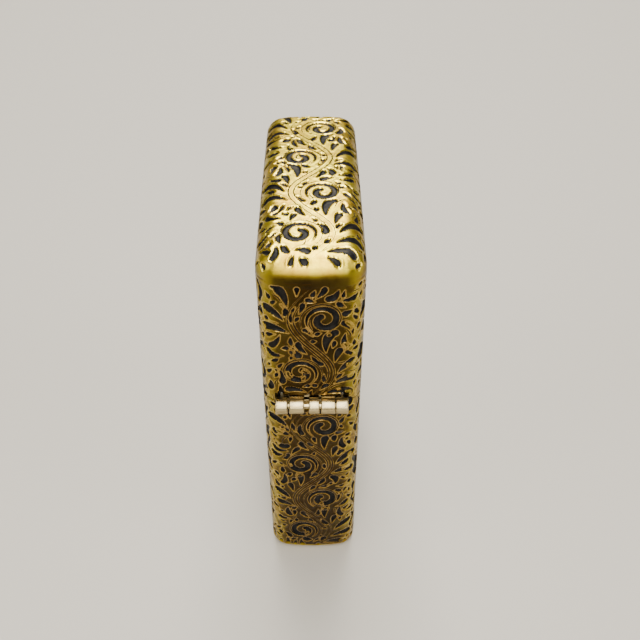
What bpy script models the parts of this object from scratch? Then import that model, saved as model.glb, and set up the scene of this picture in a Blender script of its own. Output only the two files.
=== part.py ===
"""Flip-top pocket lighter: a brass case in two halves on a five-knuckle hinge, and the unit inside it.

Metres, +Z up. The origin is on the flat base, under the middle of the case. X runs along the width of
the case with the hinge at -X, and Y through its thickness. The case stands closed.
"""

import math

import bmesh
import bpy
from mathutils import Matrix, Vector

mm = 0.001

# Case: outer size, sheet, and the radii of its outline seen from above
CASE_LENGTH = 38.1 * mm
CASE_THICKNESS = 13.0 * mm
CASE_HEIGHT = 57.2 * mm
CASE_WALL = 0.8 * mm
CORNER_RADIUS = 2.8 * mm
END_RADIUS = 28.0 * mm
BASE_EDGE_RADIUS = 1.4 * mm
TOP_EDGE_RADIUS = 2.6 * mm
TOP_CROWN = 0.5 * mm
SEAM_Z = 34.4 * mm
SEAM_HALF_GAP = 0.08 * mm

# Hinge: the pin stands just proud of the end wall, at the height of the seam
HINGE_X = -CASE_LENGTH / 2 - 0.45 * mm
KNUCKLE_RADIUS = 1.1 * mm
KNUCKLE_BORE = 0.5 * mm
PIN_RADIUS = 0.42 * mm
PIN_HALF_LENGTH = 4.65 * mm
BASE_KNUCKLES = ((3.14, 4.71), (-0.98, 0.39), (-4.70, -3.08))  # Y ranges, in mm
LID_KNUCKLES = ((1.03, 2.94), (-3.04, -1.18))
LEAF_THICKNESS = 0.4 * mm
LEAF_HALF_WIDTH = 3.85 * mm
LEAF_HEIGHT = 8.0 * mm
LEAF_EDGE_TO_AXIS = 0.25 * mm
NOTCH_HALF_WIDTH = 4.95 * mm
NOTCH_HEIGHT = 1.35 * mm

# Unit: the steel shell that slides into the lower case
UNIT_CENTRE_X = 0.225 * mm
UNIT_LENGTH = 35.65 * mm
UNIT_THICKNESS = 11.0 * mm
UNIT_WALL = 0.5 * mm
UNIT_CORNER_RADIUS = 2.0 * mm
UNIT_END_RADIUS = 27.0 * mm
UNIT_BOTTOM_Z = 1.4 * mm
DECK_Z = 38.0 * mm
DECK_EDGE_RADIUS = 1.2 * mm

# Chimney: a steel strip bent round the wick, whose two ears carry the striker wheel
CHIMNEY_HALF_WIDTH = 4.6 * mm
CHIMNEY_WALL = 0.5 * mm
CHIMNEY_LEFT_X = -7.6 * mm
CHIMNEY_TALL_RIGHT_X = 6.2 * mm
EAR_RIGHT_X = 13.6 * mm
CHIMNEY_TOP_Z = 54.2 * mm
EAR_TOP_Z = 47.0 * mm
VENT_RADIUS = 1.05 * mm
VENT_ROWS = ((50.6, (-4.5, -0.7, 3.1)), (46.9, (-2.6, 1.2)), (43.2, (-4.5, -0.7, 3.1)))  # Z, Xs in mm

# Striker wheel on its rivet
WHEEL_X = 9.9 * mm
WHEEL_Z = 44.7 * mm
WHEEL_RADIUS = 3.4 * mm
WHEEL_TOOTH = 0.3 * mm
WHEEL_TEETH = 30
WHEEL_HALF_WIDTH = 2.3 * mm
HUB_RADIUS = 2.0 * mm
HUB_HALF_WIDTH = 3.95 * mm
WHEEL_BORE = 0.93 * mm
WHEEL_RIVET_RADIUS = 0.85 * mm

# Cam, which holds the lid shut or open, on its rivet between two ears of the deck
CAM_X = -11.2 * mm
CAM_Z = 39.6 * mm
CAM_HALF_THICKNESS = 1.15 * mm
CAM_HEAD_RADIUS = 2.4 * mm
CAM_HEEL_RADIUS = 5.2 * mm
CAM_HEEL_ARC = (250.0, 312.0)
CAM_TIP = (-5.4 * mm, -4.9 * mm)
CAM_TIP_RADIUS = 0.7 * mm
CAM_BORE = 0.83 * mm
CAM_RIVET_RADIUS = 0.75 * mm
CAM_EAR_INNER_Y = 1.45 * mm
CAM_EAR_THICKNESS = 0.45 * mm
CAM_SLOT_HALF_WIDTH = 1.35 * mm
CAM_SPRING_THICKNESS = 0.34 * mm
CAM_SPRING_HALF_WIDTH = 1.8 * mm
CAM_SPRING_LINE = (  # X and Z in mm: up the end wall, over, and under the heel of the cam
    (-16.72, 20.0), (-16.72, 24.5), (-16.70, 28.6), (-15.9, 30.9), (-14.2, 32.6),
    (-12.5, 33.8), (-10.9, 34.14), (-9.4, 33.95), (-8.5, 33.4),
)

# Flint in its tube, under the wheel
FLINT_X = WHEEL_X
TUBE_RADIUS = 1.9 * mm
TUBE_BORE = 1.35 * mm
TUBE_BOTTOM_Z = 3.3 * mm
TUBE_TOP_Z = 40.3 * mm
FLINT_RADIUS = 1.2 * mm
FLINT_TOP_Z = WHEEL_Z - WHEEL_RADIUS - 0.1 * mm
FLINT_LENGTH = 5.6 * mm
PLUNGER_LENGTH = 3.6 * mm
SPRING_RADIUS = 0.92 * mm
SPRING_WIRE_RADIUS = 0.16 * mm
SPRING_TURNS = 19
SCREW_HEAD_RADIUS = 2.8 * mm
SCREW_HEAD_Z = (1.55 * mm, 3.1 * mm)
SCREW_SHANK_TOP_Z = 8.0 * mm

# Wick, which runs down the chimney and to and fro between the packing wads
WICK_RADIUS = 1.3 * mm
WICK_TOP_Z = 48.0 * mm
WICK_RUNS_Z = (29.5 * mm, 22.9 * mm, 16.3 * mm, 9.7 * mm)
WICK_LEFT_X = -11.2 * mm
WICK_RIGHT_X = 3.3 * mm

# Packing wads as X and Z ranges in mm, and the felt that closes the unit
WADS = (
    ((1.7, 7.8), (31.2, 37.0)),
    ((-12.6, 7.8), (24.5, 27.9)),
    ((-15.9, 4.7), (17.9, 21.3)),
    ((-12.6, 7.8), (11.3, 14.7)),
    ((-15.9, 7.0), (5.3, 8.1)),
    ((12.3, 17.2), (5.6, 36.4)),
)
WAD_HALF_WIDTH = 4.75 * mm
WAD_ROUNDING = 1.35 * mm
FELT_Z = (2.0 * mm, 5.0 * mm)

ROUND_STEPS = 24
FINE_ROUND_STEPS = 32


# ---- materials and small tools ----

def material(name, colour, metallic, roughness):
    """A plain Principled material, made once for each name."""
    found = bpy.data.materials.get(name)
    if found:
        return found
    made = bpy.data.materials.new(name)
    made.use_nodes = True
    shader = made.node_tree.nodes["Principled BSDF"]
    shader.inputs["Base Color"].default_value = (*colour, 1.0)
    shader.inputs["Metallic"].default_value = metallic
    shader.inputs["Roughness"].default_value = roughness
    made.diffuse_color = (*colour, 1.0)
    return made


def engraved_brass():
    return material("engraved_brass", (0.48, 0.34, 0.09), 1.0, 0.32)


def plain_brass():
    return material("plain_brass", (0.66, 0.50, 0.20), 1.0, 0.30)


def nickel():
    return material("nickel", (0.74, 0.70, 0.60), 1.0, 0.22)


def stainless():
    return material("stainless", (0.60, 0.60, 0.58), 1.0, 0.34)


def tool_steel():
    return material("tool_steel", (0.22, 0.21, 0.20), 1.0, 0.45)


def flint_alloy():
    return material("flint_alloy", (0.12, 0.12, 0.12), 0.6, 0.6)


def cotton():
    return material("cotton", (0.86, 0.83, 0.76), 0.0, 0.95)


def felt():
    return material("felt", (0.55, 0.53, 0.50), 0.0, 0.95)


def add_object(name, build, finish=None):
    """A new object from a bmesh that build(bm) fills. Its faces are made to point out."""
    bm = bmesh.new()
    build(bm)
    bmesh.ops.recalc_face_normals(bm, faces=bm.faces)
    mesh = bpy.data.meshes.new(name)
    bm.to_mesh(mesh)
    bm.free()
    made = bpy.data.objects.new(name, mesh)
    bpy.context.scene.collection.objects.link(made)
    if finish:
        mesh.materials.append(finish)
    return made


def smooth(made, degrees=30.0):
    """Round faces shade smooth, and edges sharper than this stay sharp."""
    made.data.shade_smooth()
    made.data.set_sharp_from_angle(angle=math.radians(degrees))
    return made


def helper(made):
    """Marks a cutter or an operand, which isn't part of the object."""
    made.hide_render = True
    made.display_type = "WIRE"
    return made


def boolean(target, other, operation):
    modifier = target.modifiers.new(operation.lower(), "BOOLEAN")
    modifier.operation = operation
    modifier.solver = "EXACT"
    modifier.object = helper(other)


def loft(name, rings, finish=None, loop=False):
    """A closed solid through rings of equally many points: capped at both ends, or joined end to start."""
    def build(bm):
        made = [[bm.verts.new(point) for point in ring] for ring in rings]
        pairs = list(zip(made, made[1:]))
        if loop:
            pairs.append((made[-1], made[0]))
        else:
            bm.faces.new(made[0])
            bm.faces.new(made[-1])
        count = len(rings[0])
        for first, second in pairs:
            for i in range(count):
                j = (i + 1) % count
                bm.faces.new((first[i], first[j], second[j], second[i]))
    return add_object(name, build, finish)


def circle(radius, steps=ROUND_STEPS):
    return [
        (radius * math.cos(2 * math.pi * i / steps), radius * math.sin(2 * math.pi * i / steps))
        for i in range(steps)
    ]


def across(points, y, x=0.0, z=0.0):
    """Points drawn in X and Z, set at this Y."""
    return [(x + a, y, z + b) for a, b in points]


def upright(points, z, x=0.0, y=0.0):
    """Points drawn in X and Y, set at this Z."""
    return [(x + a, y + b, z) for a, b in points]


def turned_z(name, profile, x, finish=None, steps=ROUND_STEPS, loop=False):
    """A solid turned about a vertical axis at x, from (radius, Z) pairs."""
    return loft(name, [upright(circle(r, steps), z, x) for r, z in profile], finish, loop)


def turned_y(name, profile, x, z, finish=None, steps=ROUND_STEPS, loop=False):
    """A solid turned about an axis along Y, from (radius, Y) pairs."""
    return loft(name, [across(circle(r, steps), y, x, z) for r, y in profile], finish, loop)


def rod_y(name, radius, half_length, x, z, steps=ROUND_STEPS):
    return turned_y(name, [(radius, -half_length), (radius, half_length)], x, z, steps=steps)


def rod_z(name, radius, low, high, x, steps=ROUND_STEPS):
    return turned_z(name, [(radius, low), (radius, high)], x, steps=steps)


def box(name, low, high, finish=None):
    def build(bm):
        size = Vector(high) - Vector(low)
        middle = (Vector(high) + Vector(low)) / 2
        bmesh.ops.create_cube(bm, size=1.0, matrix=Matrix.Translation(middle) @ Matrix.Diagonal((*size, 1.0)))
    return add_object(name, build, finish)


def prism_y(name, outline, low, high, finish=None):
    """An outline in X and Z, extruded along Y."""
    return loft(name, [across(outline, low), across(outline, high)], finish)


# ---- outlines ----

def plan_quarter(length, thickness, corner_radius, end_radius, inset):
    """The outline from the middle of the +X end to the start of the flat side, both arcs tangent."""
    corner_y = thickness / 2 - corner_radius
    end_centre = length / 2 - end_radius
    reach = math.sqrt((end_radius - corner_radius) ** 2 - corner_y ** 2)
    corner_x = end_centre + reach
    turn = math.atan2(corner_y, reach)
    end_steps, corner_steps = 3, 6
    points = []
    for i in range(end_steps):
        angle = turn * i / end_steps
        radius = end_radius - inset
        points.append((end_centre + radius * math.cos(angle), radius * math.sin(angle)))
    for i in range(corner_steps + 1):
        angle = turn + (math.pi / 2 - turn) * i / corner_steps
        radius = corner_radius - inset
        points.append((corner_x + radius * math.cos(angle), corner_y + radius * math.sin(angle)))
    return points


def plan_outline(length, thickness, corner_radius, end_radius, inset=0.0):
    """The whole outline seen from above: bowed ends, round corners and flat broad sides."""
    quarter = plan_quarter(length, thickness, corner_radius, end_radius, inset)
    rest = quarter[1:]
    return (
        quarter
        + [(-x, y) for x, y in reversed(quarter)]
        + [(-x, -y) for x, y in rest]
        + [(x, -y) for x, y in reversed(rest)]
    )


def case_outline(inset):
    return plan_outline(CASE_LENGTH, CASE_THICKNESS, CORNER_RADIUS, END_RADIUS, inset)


def unit_outline(inset):
    return plan_outline(UNIT_LENGTH, UNIT_THICKNESS, UNIT_CORNER_RADIUS, UNIT_END_RADIUS, inset)


def crowned(points, top, x_centre, crown, length, drop=0.0):
    """A ring whose height follows the slight arch of a top, from one end of the case to the other."""
    return [
        (x_centre + x, y, top - drop - crown * (2 * x / length) ** 2)
        for x, y in points
    ]


def domed_end(outline, top, radius, inset, crown=0.0, length=CASE_LENGTH, x_centre=0.0, steps=5):
    """Rings from the middle of a top out over its rounded edge, at this inset from the outer outline."""
    rings = []
    flat = outline(inset + radius)
    for share in (0.3, 0.7):
        rings.append(crowned([(x * share, y * share) for x, y in flat], top, x_centre, crown, length))
    for i in range(steps + 1):
        angle = math.pi / 2 * (1 - i / steps)
        ring = outline(inset + radius * (1 - math.cos(angle)))
        rings.append(crowned(ring, top, x_centre, crown, length, drop=radius * (1 - math.sin(angle))))
    return rings


# ---- case ----

def make_case_bottom():
    inner_radius = BASE_EDGE_RADIUS - CASE_WALL
    rim = SEAM_Z - SEAM_HALF_GAP
    rings = []
    for i in range(5):
        angle = math.pi / 2 * (1 - i / 4)
        inset = BASE_EDGE_RADIUS * (1 - math.cos(angle))
        rings.append(upright(case_outline(inset), BASE_EDGE_RADIUS * (1 - math.sin(angle))))
    rings.append(upright(case_outline(0.0), rim))
    rings.append(upright(case_outline(CASE_WALL), rim))
    for i in range(4):
        angle = math.pi / 2 * i / 3
        inset = CASE_WALL + inner_radius * (1 - math.cos(angle))
        rings.append(upright(case_outline(inset), CASE_WALL + inner_radius * (1 - math.sin(angle))))
    made = smooth(loft("case_bottom", rings, engraved_brass()))
    boolean(made, hinge_notch("case_bottom_notch", SEAM_Z - NOTCH_HEIGHT, SEAM_Z + 1 * mm), "DIFFERENCE")


def make_case_lid():
    rim = SEAM_Z + SEAM_HALF_GAP
    outer = domed_end(case_outline, CASE_HEIGHT, TOP_EDGE_RADIUS, 0.0, TOP_CROWN)
    inner = domed_end(
        case_outline, CASE_HEIGHT - CASE_WALL, TOP_EDGE_RADIUS - CASE_WALL, CASE_WALL, TOP_CROWN
    )
    rims = [upright(case_outline(0.0), rim), upright(case_outline(CASE_WALL), rim)]
    made = smooth(loft("case_lid", outer + rims + inner[::-1], engraved_brass()))
    boolean(made, hinge_notch("case_lid_notch", SEAM_Z - 1 * mm, SEAM_Z + NOTCH_HEIGHT), "DIFFERENCE")


def hinge_notch(name, low, high):
    """The slot across the end wall that leaves room for the knuckles."""
    return box(name, (HINGE_X - 2 * mm, -NOTCH_HALF_WIDTH, low), (-16.0 * mm, NOTCH_HALF_WIDTH, high))


def leaf_plate(name, low, high, finish):
    """The hidden part of a hinge leaf, bowed like the inside of the end wall."""
    gap = 0.05 * mm
    centre = -(CASE_LENGTH / 2 - END_RADIUS)
    outer = END_RADIUS - CASE_WALL - gap
    steps = 8
    outline = []
    for radius, order in ((outer, range(steps + 1)), (outer - LEAF_THICKNESS, range(steps, -1, -1))):
        for i in order:
            y = LEAF_HALF_WIDTH * (2 * i / steps - 1)
            outline.append((centre - math.sqrt(radius ** 2 - y ** 2), y))
    return loft(name, [upright(outline, low), upright(outline, high)], finish)


def make_hinge_leaf(name, knuckles, side):
    """A leaf with its knuckles. side is 1 for the lid's, which stands up, and -1 for the lower one."""
    near = SEAM_Z + side * LEAF_EDGE_TO_AXIS
    far = SEAM_Z + side * (LEAF_EDGE_TO_AXIS + LEAF_HEIGHT)
    made = leaf_plate(name, min(near, far), max(near, far), nickel())
    web_far = SEAM_Z + side * (KNUCKLE_RADIUS - 0.05 * mm)
    for number, (low, high) in enumerate(knuckles, 1):
        web_low = max(low * mm, -LEAF_HALF_WIDTH + 0.02 * mm)
        web_high = min(high * mm, LEAF_HALF_WIDTH - 0.02 * mm)
        web = box(
            f"{name}_web_{number}",
            (HINGE_X + 0.62 * mm, web_low, min(near, web_far) + 0.02 * mm),
            (HINGE_X + 1.62 * mm, web_high, max(near, web_far) - 0.02 * mm),
        )
        boolean(made, web, "UNION")
        ring = turned_y(
            f"{name}_knuckle_{number}",
            [(KNUCKLE_RADIUS, low * mm), (KNUCKLE_RADIUS, high * mm)],
            HINGE_X, SEAM_Z, steps=FINE_ROUND_STEPS,
        )
        boolean(made, ring, "UNION")
    boolean(made, rod_y(f"{name}_bore", KNUCKLE_BORE, 6 * mm, HINGE_X, SEAM_Z), "DIFFERENCE")
    smooth(made)


def make_hinge_pin():
    end = 0.1 * mm
    profile = [
        (PIN_RADIUS - end, -PIN_HALF_LENGTH), (PIN_RADIUS, end - PIN_HALF_LENGTH),
        (PIN_RADIUS, PIN_HALF_LENGTH - end), (PIN_RADIUS - end, PIN_HALF_LENGTH),
    ]
    smooth(turned_y("hinge_pin", profile, HINGE_X, SEAM_Z, nickel(), steps=20))


# ---- unit ----

def make_unit_shell():
    outer = domed_end(unit_outline, DECK_Z, DECK_EDGE_RADIUS, 0.0, x_centre=UNIT_CENTRE_X, steps=4)
    inner = domed_end(
        unit_outline, DECK_Z - UNIT_WALL, DECK_EDGE_RADIUS - UNIT_WALL, UNIT_WALL,
        x_centre=UNIT_CENTRE_X, steps=3,
    )
    rims = [
        upright(unit_outline(0.0), UNIT_BOTTOM_Z, UNIT_CENTRE_X),
        upright(unit_outline(UNIT_WALL), UNIT_BOTTOM_Z, UNIT_CENTRE_X),
    ]
    made = loft("unit_shell", outer + rims + inner[::-1], stainless())
    slot_right = CAM_X + 4.3 * mm
    slot = box(
        "cam_slot",
        (-19 * mm, -CAM_SLOT_HALF_WIDTH, SEAM_Z - 1.6 * mm),
        (slot_right, CAM_SLOT_HALF_WIDTH, DECK_Z + 1 * mm),
    )
    boolean(made, slot, "DIFFERENCE")
    holes = (("wick_hole", 0.0, WICK_RADIUS + 0.3 * mm), ("tube_hole", FLINT_X, TUBE_RADIUS + 0.08 * mm))
    for name, x, radius in holes:
        boolean(made, rod_z(name, radius, DECK_Z - 2 * mm, DECK_Z + 1 * mm, x), "DIFFERENCE")
    for side in (-1, 1):
        boolean(made, cam_ear(f"cam_ear_{side}", side), "UNION")
    bore = rod_y("cam_ear_bore", CAM_BORE, 4 * mm, CAM_X, CAM_Z)
    boolean(made, bore, "DIFFERENCE")
    smooth(made)


def cam_ear(name, side):
    """One of the two round-topped ears that stand up from the deck beside the cam."""
    half = 1.9 * mm
    foot = DECK_Z - 0.3 * mm
    steps = 10
    outline = [(CAM_X - half, foot), (CAM_X + half, foot)]
    for i in range(steps + 1):
        angle = math.pi * i / steps
        outline.append((CAM_X + half * math.cos(angle), CAM_Z + half * math.sin(angle)))
    inner, outer = side * CAM_EAR_INNER_Y, side * (CAM_EAR_INNER_Y + CAM_EAR_THICKNESS)
    return prism_y(name, outline, min(inner, outer), max(inner, outer))


def make_chimney():
    """A strip bent to a U round the wick, cut down to two ears at the wheel, with its vents."""
    radius = CHIMNEY_HALF_WIDTH
    centre_x = CHIMNEY_LEFT_X + radius
    steps = 20
    outline = []
    for wall, order in ((radius, range(steps + 1)), (radius - CHIMNEY_WALL, range(steps, -1, -1))):
        arc = []
        for i in order:
            angle = math.pi / 2 + math.pi * i / steps
            arc.append((centre_x + wall * math.cos(angle), wall * math.sin(angle)))
        ends = [(EAR_RIGHT_X, wall), (EAR_RIGHT_X, -wall)]
        outline += [ends[0]] + arc + [ends[1]] if wall == radius else [ends[1]] + arc + [ends[0]]
    low = DECK_Z + 0.05 * mm
    made = loft("chimney", [upright(outline, low), upright(outline, CHIMNEY_TOP_Z)], stainless())
    step_down = box(
        "ear_step",
        (CHIMNEY_TALL_RIGHT_X + 2 * mm, -6 * mm, EAR_TOP_Z),
        (EAR_RIGHT_X + 2 * mm, 6 * mm, CHIMNEY_TOP_Z + 2 * mm),
    )
    boolean(made, step_down, "DIFFERENCE")
    boolean(made, ear_sweep(), "DIFFERENCE")
    boolean(made, ear_corner(), "DIFFERENCE")
    boolean(made, rod_y("ear_bore", WHEEL_BORE, 6 * mm, WHEEL_X, WHEEL_Z), "DIFFERENCE")
    for row, (z, places) in enumerate(VENT_ROWS):
        for column, x in enumerate(places):
            vent = rod_y(f"vent_{row}_{column}", VENT_RADIUS, 6 * mm, x * mm, z * mm, steps=14)
            boolean(made, vent, "DIFFERENCE")
    smooth(made)


def ear_sweep():
    """The hollow curve that joins the tall part of the chimney to its ears."""
    radius = 4.2 * mm
    corner = (CHIMNEY_TALL_RIGHT_X + radius, EAR_TOP_Z + radius)
    steps = 8
    outline = [(corner[0] + 1 * mm, CHIMNEY_TOP_Z + 1 * mm), (corner[0] - radius, CHIMNEY_TOP_Z + 1 * mm)]
    for i in range(steps + 1):
        angle = math.pi + math.pi / 2 * i / steps
        outline.append((corner[0] + radius * math.cos(angle), corner[1] + radius * math.sin(angle)))
    outline.append((corner[0] + 1 * mm, EAR_TOP_Z))
    return prism_y("ear_sweep", outline, -6 * mm, 6 * mm)


def ear_corner():
    """Rounds the top outer corner of both ears."""
    radius = 2.6 * mm
    centre = (EAR_RIGHT_X - radius, EAR_TOP_Z - radius)
    steps = 6
    outline = [(EAR_RIGHT_X + 1 * mm, EAR_TOP_Z + 1 * mm), (centre[0], EAR_TOP_Z + 1 * mm)]
    for i in range(steps + 1):
        angle = math.pi / 2 * (1 - i / steps)
        outline.append((centre[0] + radius * math.cos(angle), centre[1] + radius * math.sin(angle)))
    outline.append((EAR_RIGHT_X + 1 * mm, centre[1]))
    return prism_y("ear_corner", outline, -6 * mm, 6 * mm)


def rivet_profile(shank, head, inner, outer):
    """Half profile and its mirror for a rivet with a low head outside each ear."""
    edge = 0.15 * mm
    half = [(head - edge, outer), (head, outer - edge), (head, inner), (shank, inner)]
    return [(r, -y) for r, y in half] + [(r, y) for r, y in reversed(half)]


def make_wheel_and_rivet():
    teeth = []
    for i in range(2 * WHEEL_TEETH):
        angle = math.pi * i / WHEEL_TEETH
        radius = WHEEL_RADIUS - (i % 2) * WHEEL_TOOTH
        teeth.append((radius * math.cos(angle), radius * math.sin(angle)))
    steps = 2 * WHEEL_TEETH
    hub, bore = circle(HUB_RADIUS, steps), circle(WHEEL_BORE, steps)
    sections = (
        (bore, -HUB_HALF_WIDTH), (hub, -HUB_HALF_WIDTH), (hub, -WHEEL_HALF_WIDTH), (teeth, -WHEEL_HALF_WIDTH),
        (teeth, WHEEL_HALF_WIDTH), (hub, WHEEL_HALF_WIDTH), (hub, HUB_HALF_WIDTH), (bore, HUB_HALF_WIDTH),
    )
    rings = [across(points, y, WHEEL_X, WHEEL_Z) for points, y in sections]
    loft("striker_wheel", rings, tool_steel(), loop=True)
    profile = rivet_profile(WHEEL_RIVET_RADIUS, 1.45 * mm, CHIMNEY_HALF_WIDTH + 0.05 * mm, 5.2 * mm)
    smooth(turned_y("wheel_rivet", profile, WHEEL_X, WHEEL_Z, plain_brass()))


def cam_outline():
    """Seen from the side: a round head on the pivot, a heel that runs on the spring, and the finger."""
    points = []
    tip_x, tip_z = CAM_TIP
    away = math.atan2(tip_z, tip_x)
    first, last = (math.radians(a) for a in CAM_HEEL_ARC)
    for i in range(11):
        angle = first + (last - first) * i / 10
        points.append((CAM_HEEL_RADIUS * math.cos(angle), CAM_HEEL_RADIUS * math.sin(angle)))
    for i in range(15):
        angle = math.radians(-20 + (160 - -20) * i / 14)
        points.append((CAM_HEAD_RADIUS * math.cos(angle), CAM_HEAD_RADIUS * math.sin(angle)))
    for i in range(9):
        angle = away - math.pi / 2 + math.pi * i / 8
        points.append((
            tip_x + CAM_TIP_RADIUS * math.cos(angle),
            tip_z + CAM_TIP_RADIUS * math.sin(angle),
        ))
    return [(CAM_X + x, CAM_Z + z) for x, z in points]


def make_cam_and_rivet():
    made = prism_y("cam", cam_outline(), -CAM_HALF_THICKNESS, CAM_HALF_THICKNESS, stainless())
    boolean(made, rod_y("cam_bore", CAM_BORE, 4 * mm, CAM_X, CAM_Z), "DIFFERENCE")
    smooth(made)
    ear_outer = CAM_EAR_INNER_Y + CAM_EAR_THICKNESS
    profile = rivet_profile(CAM_RIVET_RADIUS, 1.25 * mm, ear_outer + 0.05 * mm, ear_outer + 0.45 * mm)
    smooth(turned_y("cam_rivet", profile, CAM_X, CAM_Z, stainless()))


def curve_through(points, per_span):
    """Points along a smooth curve that passes through the given ones."""
    ends = [points[0], *points, points[-1]]
    found = []
    for a, b, c, d in zip(ends, ends[1:], ends[2:], ends[3:]):
        for i in range(per_span):
            t = i / per_span
            found.append(tuple(
                0.5 * (
                    2 * q + (r - p) * t + (2 * p - 5 * q + 4 * r - s) * t ** 2
                    + (3 * q - p - 3 * r + s) * t ** 3
                )
                for p, q, r, s in zip(a, b, c, d)
            ))
    return [*found, points[-1]]


def make_cam_spring():
    """A leaf of spring steel, riveted to the end wall."""
    line = curve_through([(x * mm, z * mm) for x, z in CAM_SPRING_LINE], 3)
    upper, lower = [], []
    for i, (x, z) in enumerate(line):
        before, after = line[max(i - 1, 0)], line[min(i + 1, len(line) - 1)]
        along = Vector((after[0] - before[0], after[1] - before[1])).normalized() * CAM_SPRING_THICKNESS / 2
        upper.append((x - along.y, z + along.x))
        lower.append((x + along.y, z - along.x))
    outline = upper + lower[::-1]
    made = prism_y("cam_spring", outline, -CAM_SPRING_HALF_WIDTH, CAM_SPRING_HALF_WIDTH, tool_steel())
    smooth(made)
    head_x = CAM_SPRING_LINE[0][0] * mm + CAM_SPRING_THICKNESS / 2 + 0.03 * mm
    rings = []
    for radius, x in ((0.9 * mm, head_x), (0.9 * mm, head_x + 0.2 * mm), (0.6 * mm, head_x + 0.4 * mm)):
        rings.append([(x, a, 22.5 * mm + b) for a, b in circle(radius, 16)])
    smooth(loft("cam_spring_rivet", rings, plain_brass()))


def make_flint_parts():
    tube = [
        (TUBE_BORE, TUBE_BOTTOM_Z), (TUBE_RADIUS, TUBE_BOTTOM_Z),
        (TUBE_RADIUS, TUBE_TOP_Z - 0.2 * mm), (TUBE_RADIUS - 0.2 * mm, TUBE_TOP_Z), (TUBE_BORE, TUBE_TOP_Z),
    ]
    smooth(turned_z("flint_tube", tube, FLINT_X, plain_brass(), loop=True))
    flint_low = FLINT_TOP_Z - FLINT_LENGTH
    bevel = 0.15 * mm
    flint = [
        (FLINT_RADIUS - bevel, flint_low), (FLINT_RADIUS, flint_low + bevel),
        (FLINT_RADIUS, FLINT_TOP_Z - bevel), (FLINT_RADIUS - bevel, FLINT_TOP_Z),
    ]
    smooth(turned_z("flint", flint, FLINT_X, flint_alloy(), steps=20))
    plunger_top = flint_low - 0.05 * mm
    spring_top = plunger_top - 1.4 * mm
    plunger = [
        (0.5 * mm, plunger_top - PLUNGER_LENGTH), (0.5 * mm, spring_top), (1.15 * mm, spring_top),
        (1.15 * mm, plunger_top - 0.3 * mm), (0.8 * mm, plunger_top),
    ]
    smooth(turned_z("flint_plunger", plunger, FLINT_X, plain_brass(), steps=20))
    make_flint_spring(SCREW_SHANK_TOP_Z + 0.25 * mm, spring_top - 0.25 * mm)
    make_flint_screw()


def make_flint_spring(low, high):
    per_turn = 12
    count = SPRING_TURNS * per_turn
    points = []
    for i in range(count + 1):
        angle = 2 * math.pi * i / per_turn
        points.append((
            FLINT_X + SPRING_RADIUS * math.cos(angle),
            SPRING_RADIUS * math.sin(angle),
            low + (high - low) * i / count,
        ))
    wire_object("flint_spring", points, SPRING_WIRE_RADIUS, 1, tool_steel())


def wire_object(name, points, radius, resolution, finish):
    """A round wire or cord along these points, with closed ends."""
    curve = bpy.data.curves.new(name, "CURVE")
    curve.dimensions = "3D"
    curve.bevel_depth = radius
    curve.bevel_resolution = resolution
    curve.use_fill_caps = True
    spline = curve.splines.new("POLY")
    spline.points.add(len(points) - 1)
    for target, point in zip(spline.points, points):
        target.co = (*point, 1.0)
    curve.materials.append(finish)
    made = bpy.data.objects.new(name, curve)
    bpy.context.scene.collection.objects.link(made)
    return made


def make_flint_screw():
    """Slotted brass screw: its shank fills the foot of the tube, and its nose holds the spring."""
    low, high = SCREW_HEAD_Z
    crest, root, pitch = 1.28 * mm, 1.08 * mm, 0.6 * mm
    bevel = 0.25 * mm
    profile = [(SCREW_HEAD_RADIUS - bevel, low), (SCREW_HEAD_RADIUS, low + bevel)]
    profile += [(SCREW_HEAD_RADIUS, high), (root, high)]
    z = high + 0.4 * mm
    while z + pitch < SCREW_SHANK_TOP_Z:
        profile += [(root, z), (crest, z + pitch / 2)]
        z += pitch
    nose = 0.5 * mm
    profile += [(root, z), (root, SCREW_SHANK_TOP_Z)]
    profile += [(nose, SCREW_SHANK_TOP_Z), (nose, SCREW_SHANK_TOP_Z + 2 * mm)]
    made = turned_z("flint_screw", profile, FLINT_X, plain_brass())
    slot = box(
        "screw_slot",
        (FLINT_X - 4 * mm, -0.4 * mm, low - 1 * mm), (FLINT_X + 4 * mm, 0.4 * mm, low + 0.75 * mm),
    )
    boolean(made, slot, "DIFFERENCE")
    smooth(made)


def arc_points(centre_x, centre_z, radius, start, end, steps):
    """Points on an arc in X and Z, without its first one. Angles are in degrees."""
    found = []
    for i in range(1, steps + 1):
        angle = math.radians(start + (end - start) * i / steps)
        found.append((centre_x + radius * math.cos(angle), 0.0, centre_z + radius * math.sin(angle)))
    return found


def wick_route():
    """Down the chimney, a bend to the left, then to and fro with a half circle between runs."""
    bend = 3.0 * mm
    first = WICK_RUNS_Z[0]
    points = [(0.0, 0.0, WICK_TOP_Z)]
    for i in range(1, 7):
        points.append((0.0, 0.0, WICK_TOP_Z + (first + bend - WICK_TOP_Z) * i / 6))
    points += arc_points(-bend, first + bend, bend, 0, -90, 5)
    half = (WICK_RUNS_Z[0] - WICK_RUNS_Z[1]) / 2
    start = -bend
    for run, z in enumerate(WICK_RUNS_Z):
        leftwards = run % 2 == 0
        end = WICK_LEFT_X if leftwards else WICK_RIGHT_X
        for i in range(1, 5):
            points.append((start + (end - start) * i / 4, 0.0, z))
        if run < len(WICK_RUNS_Z) - 1:
            turn = (90, 270) if leftwards else (90, -90)
            points += arc_points(end, z - half, half, *turn, 8)
        start = end
    return points


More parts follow.
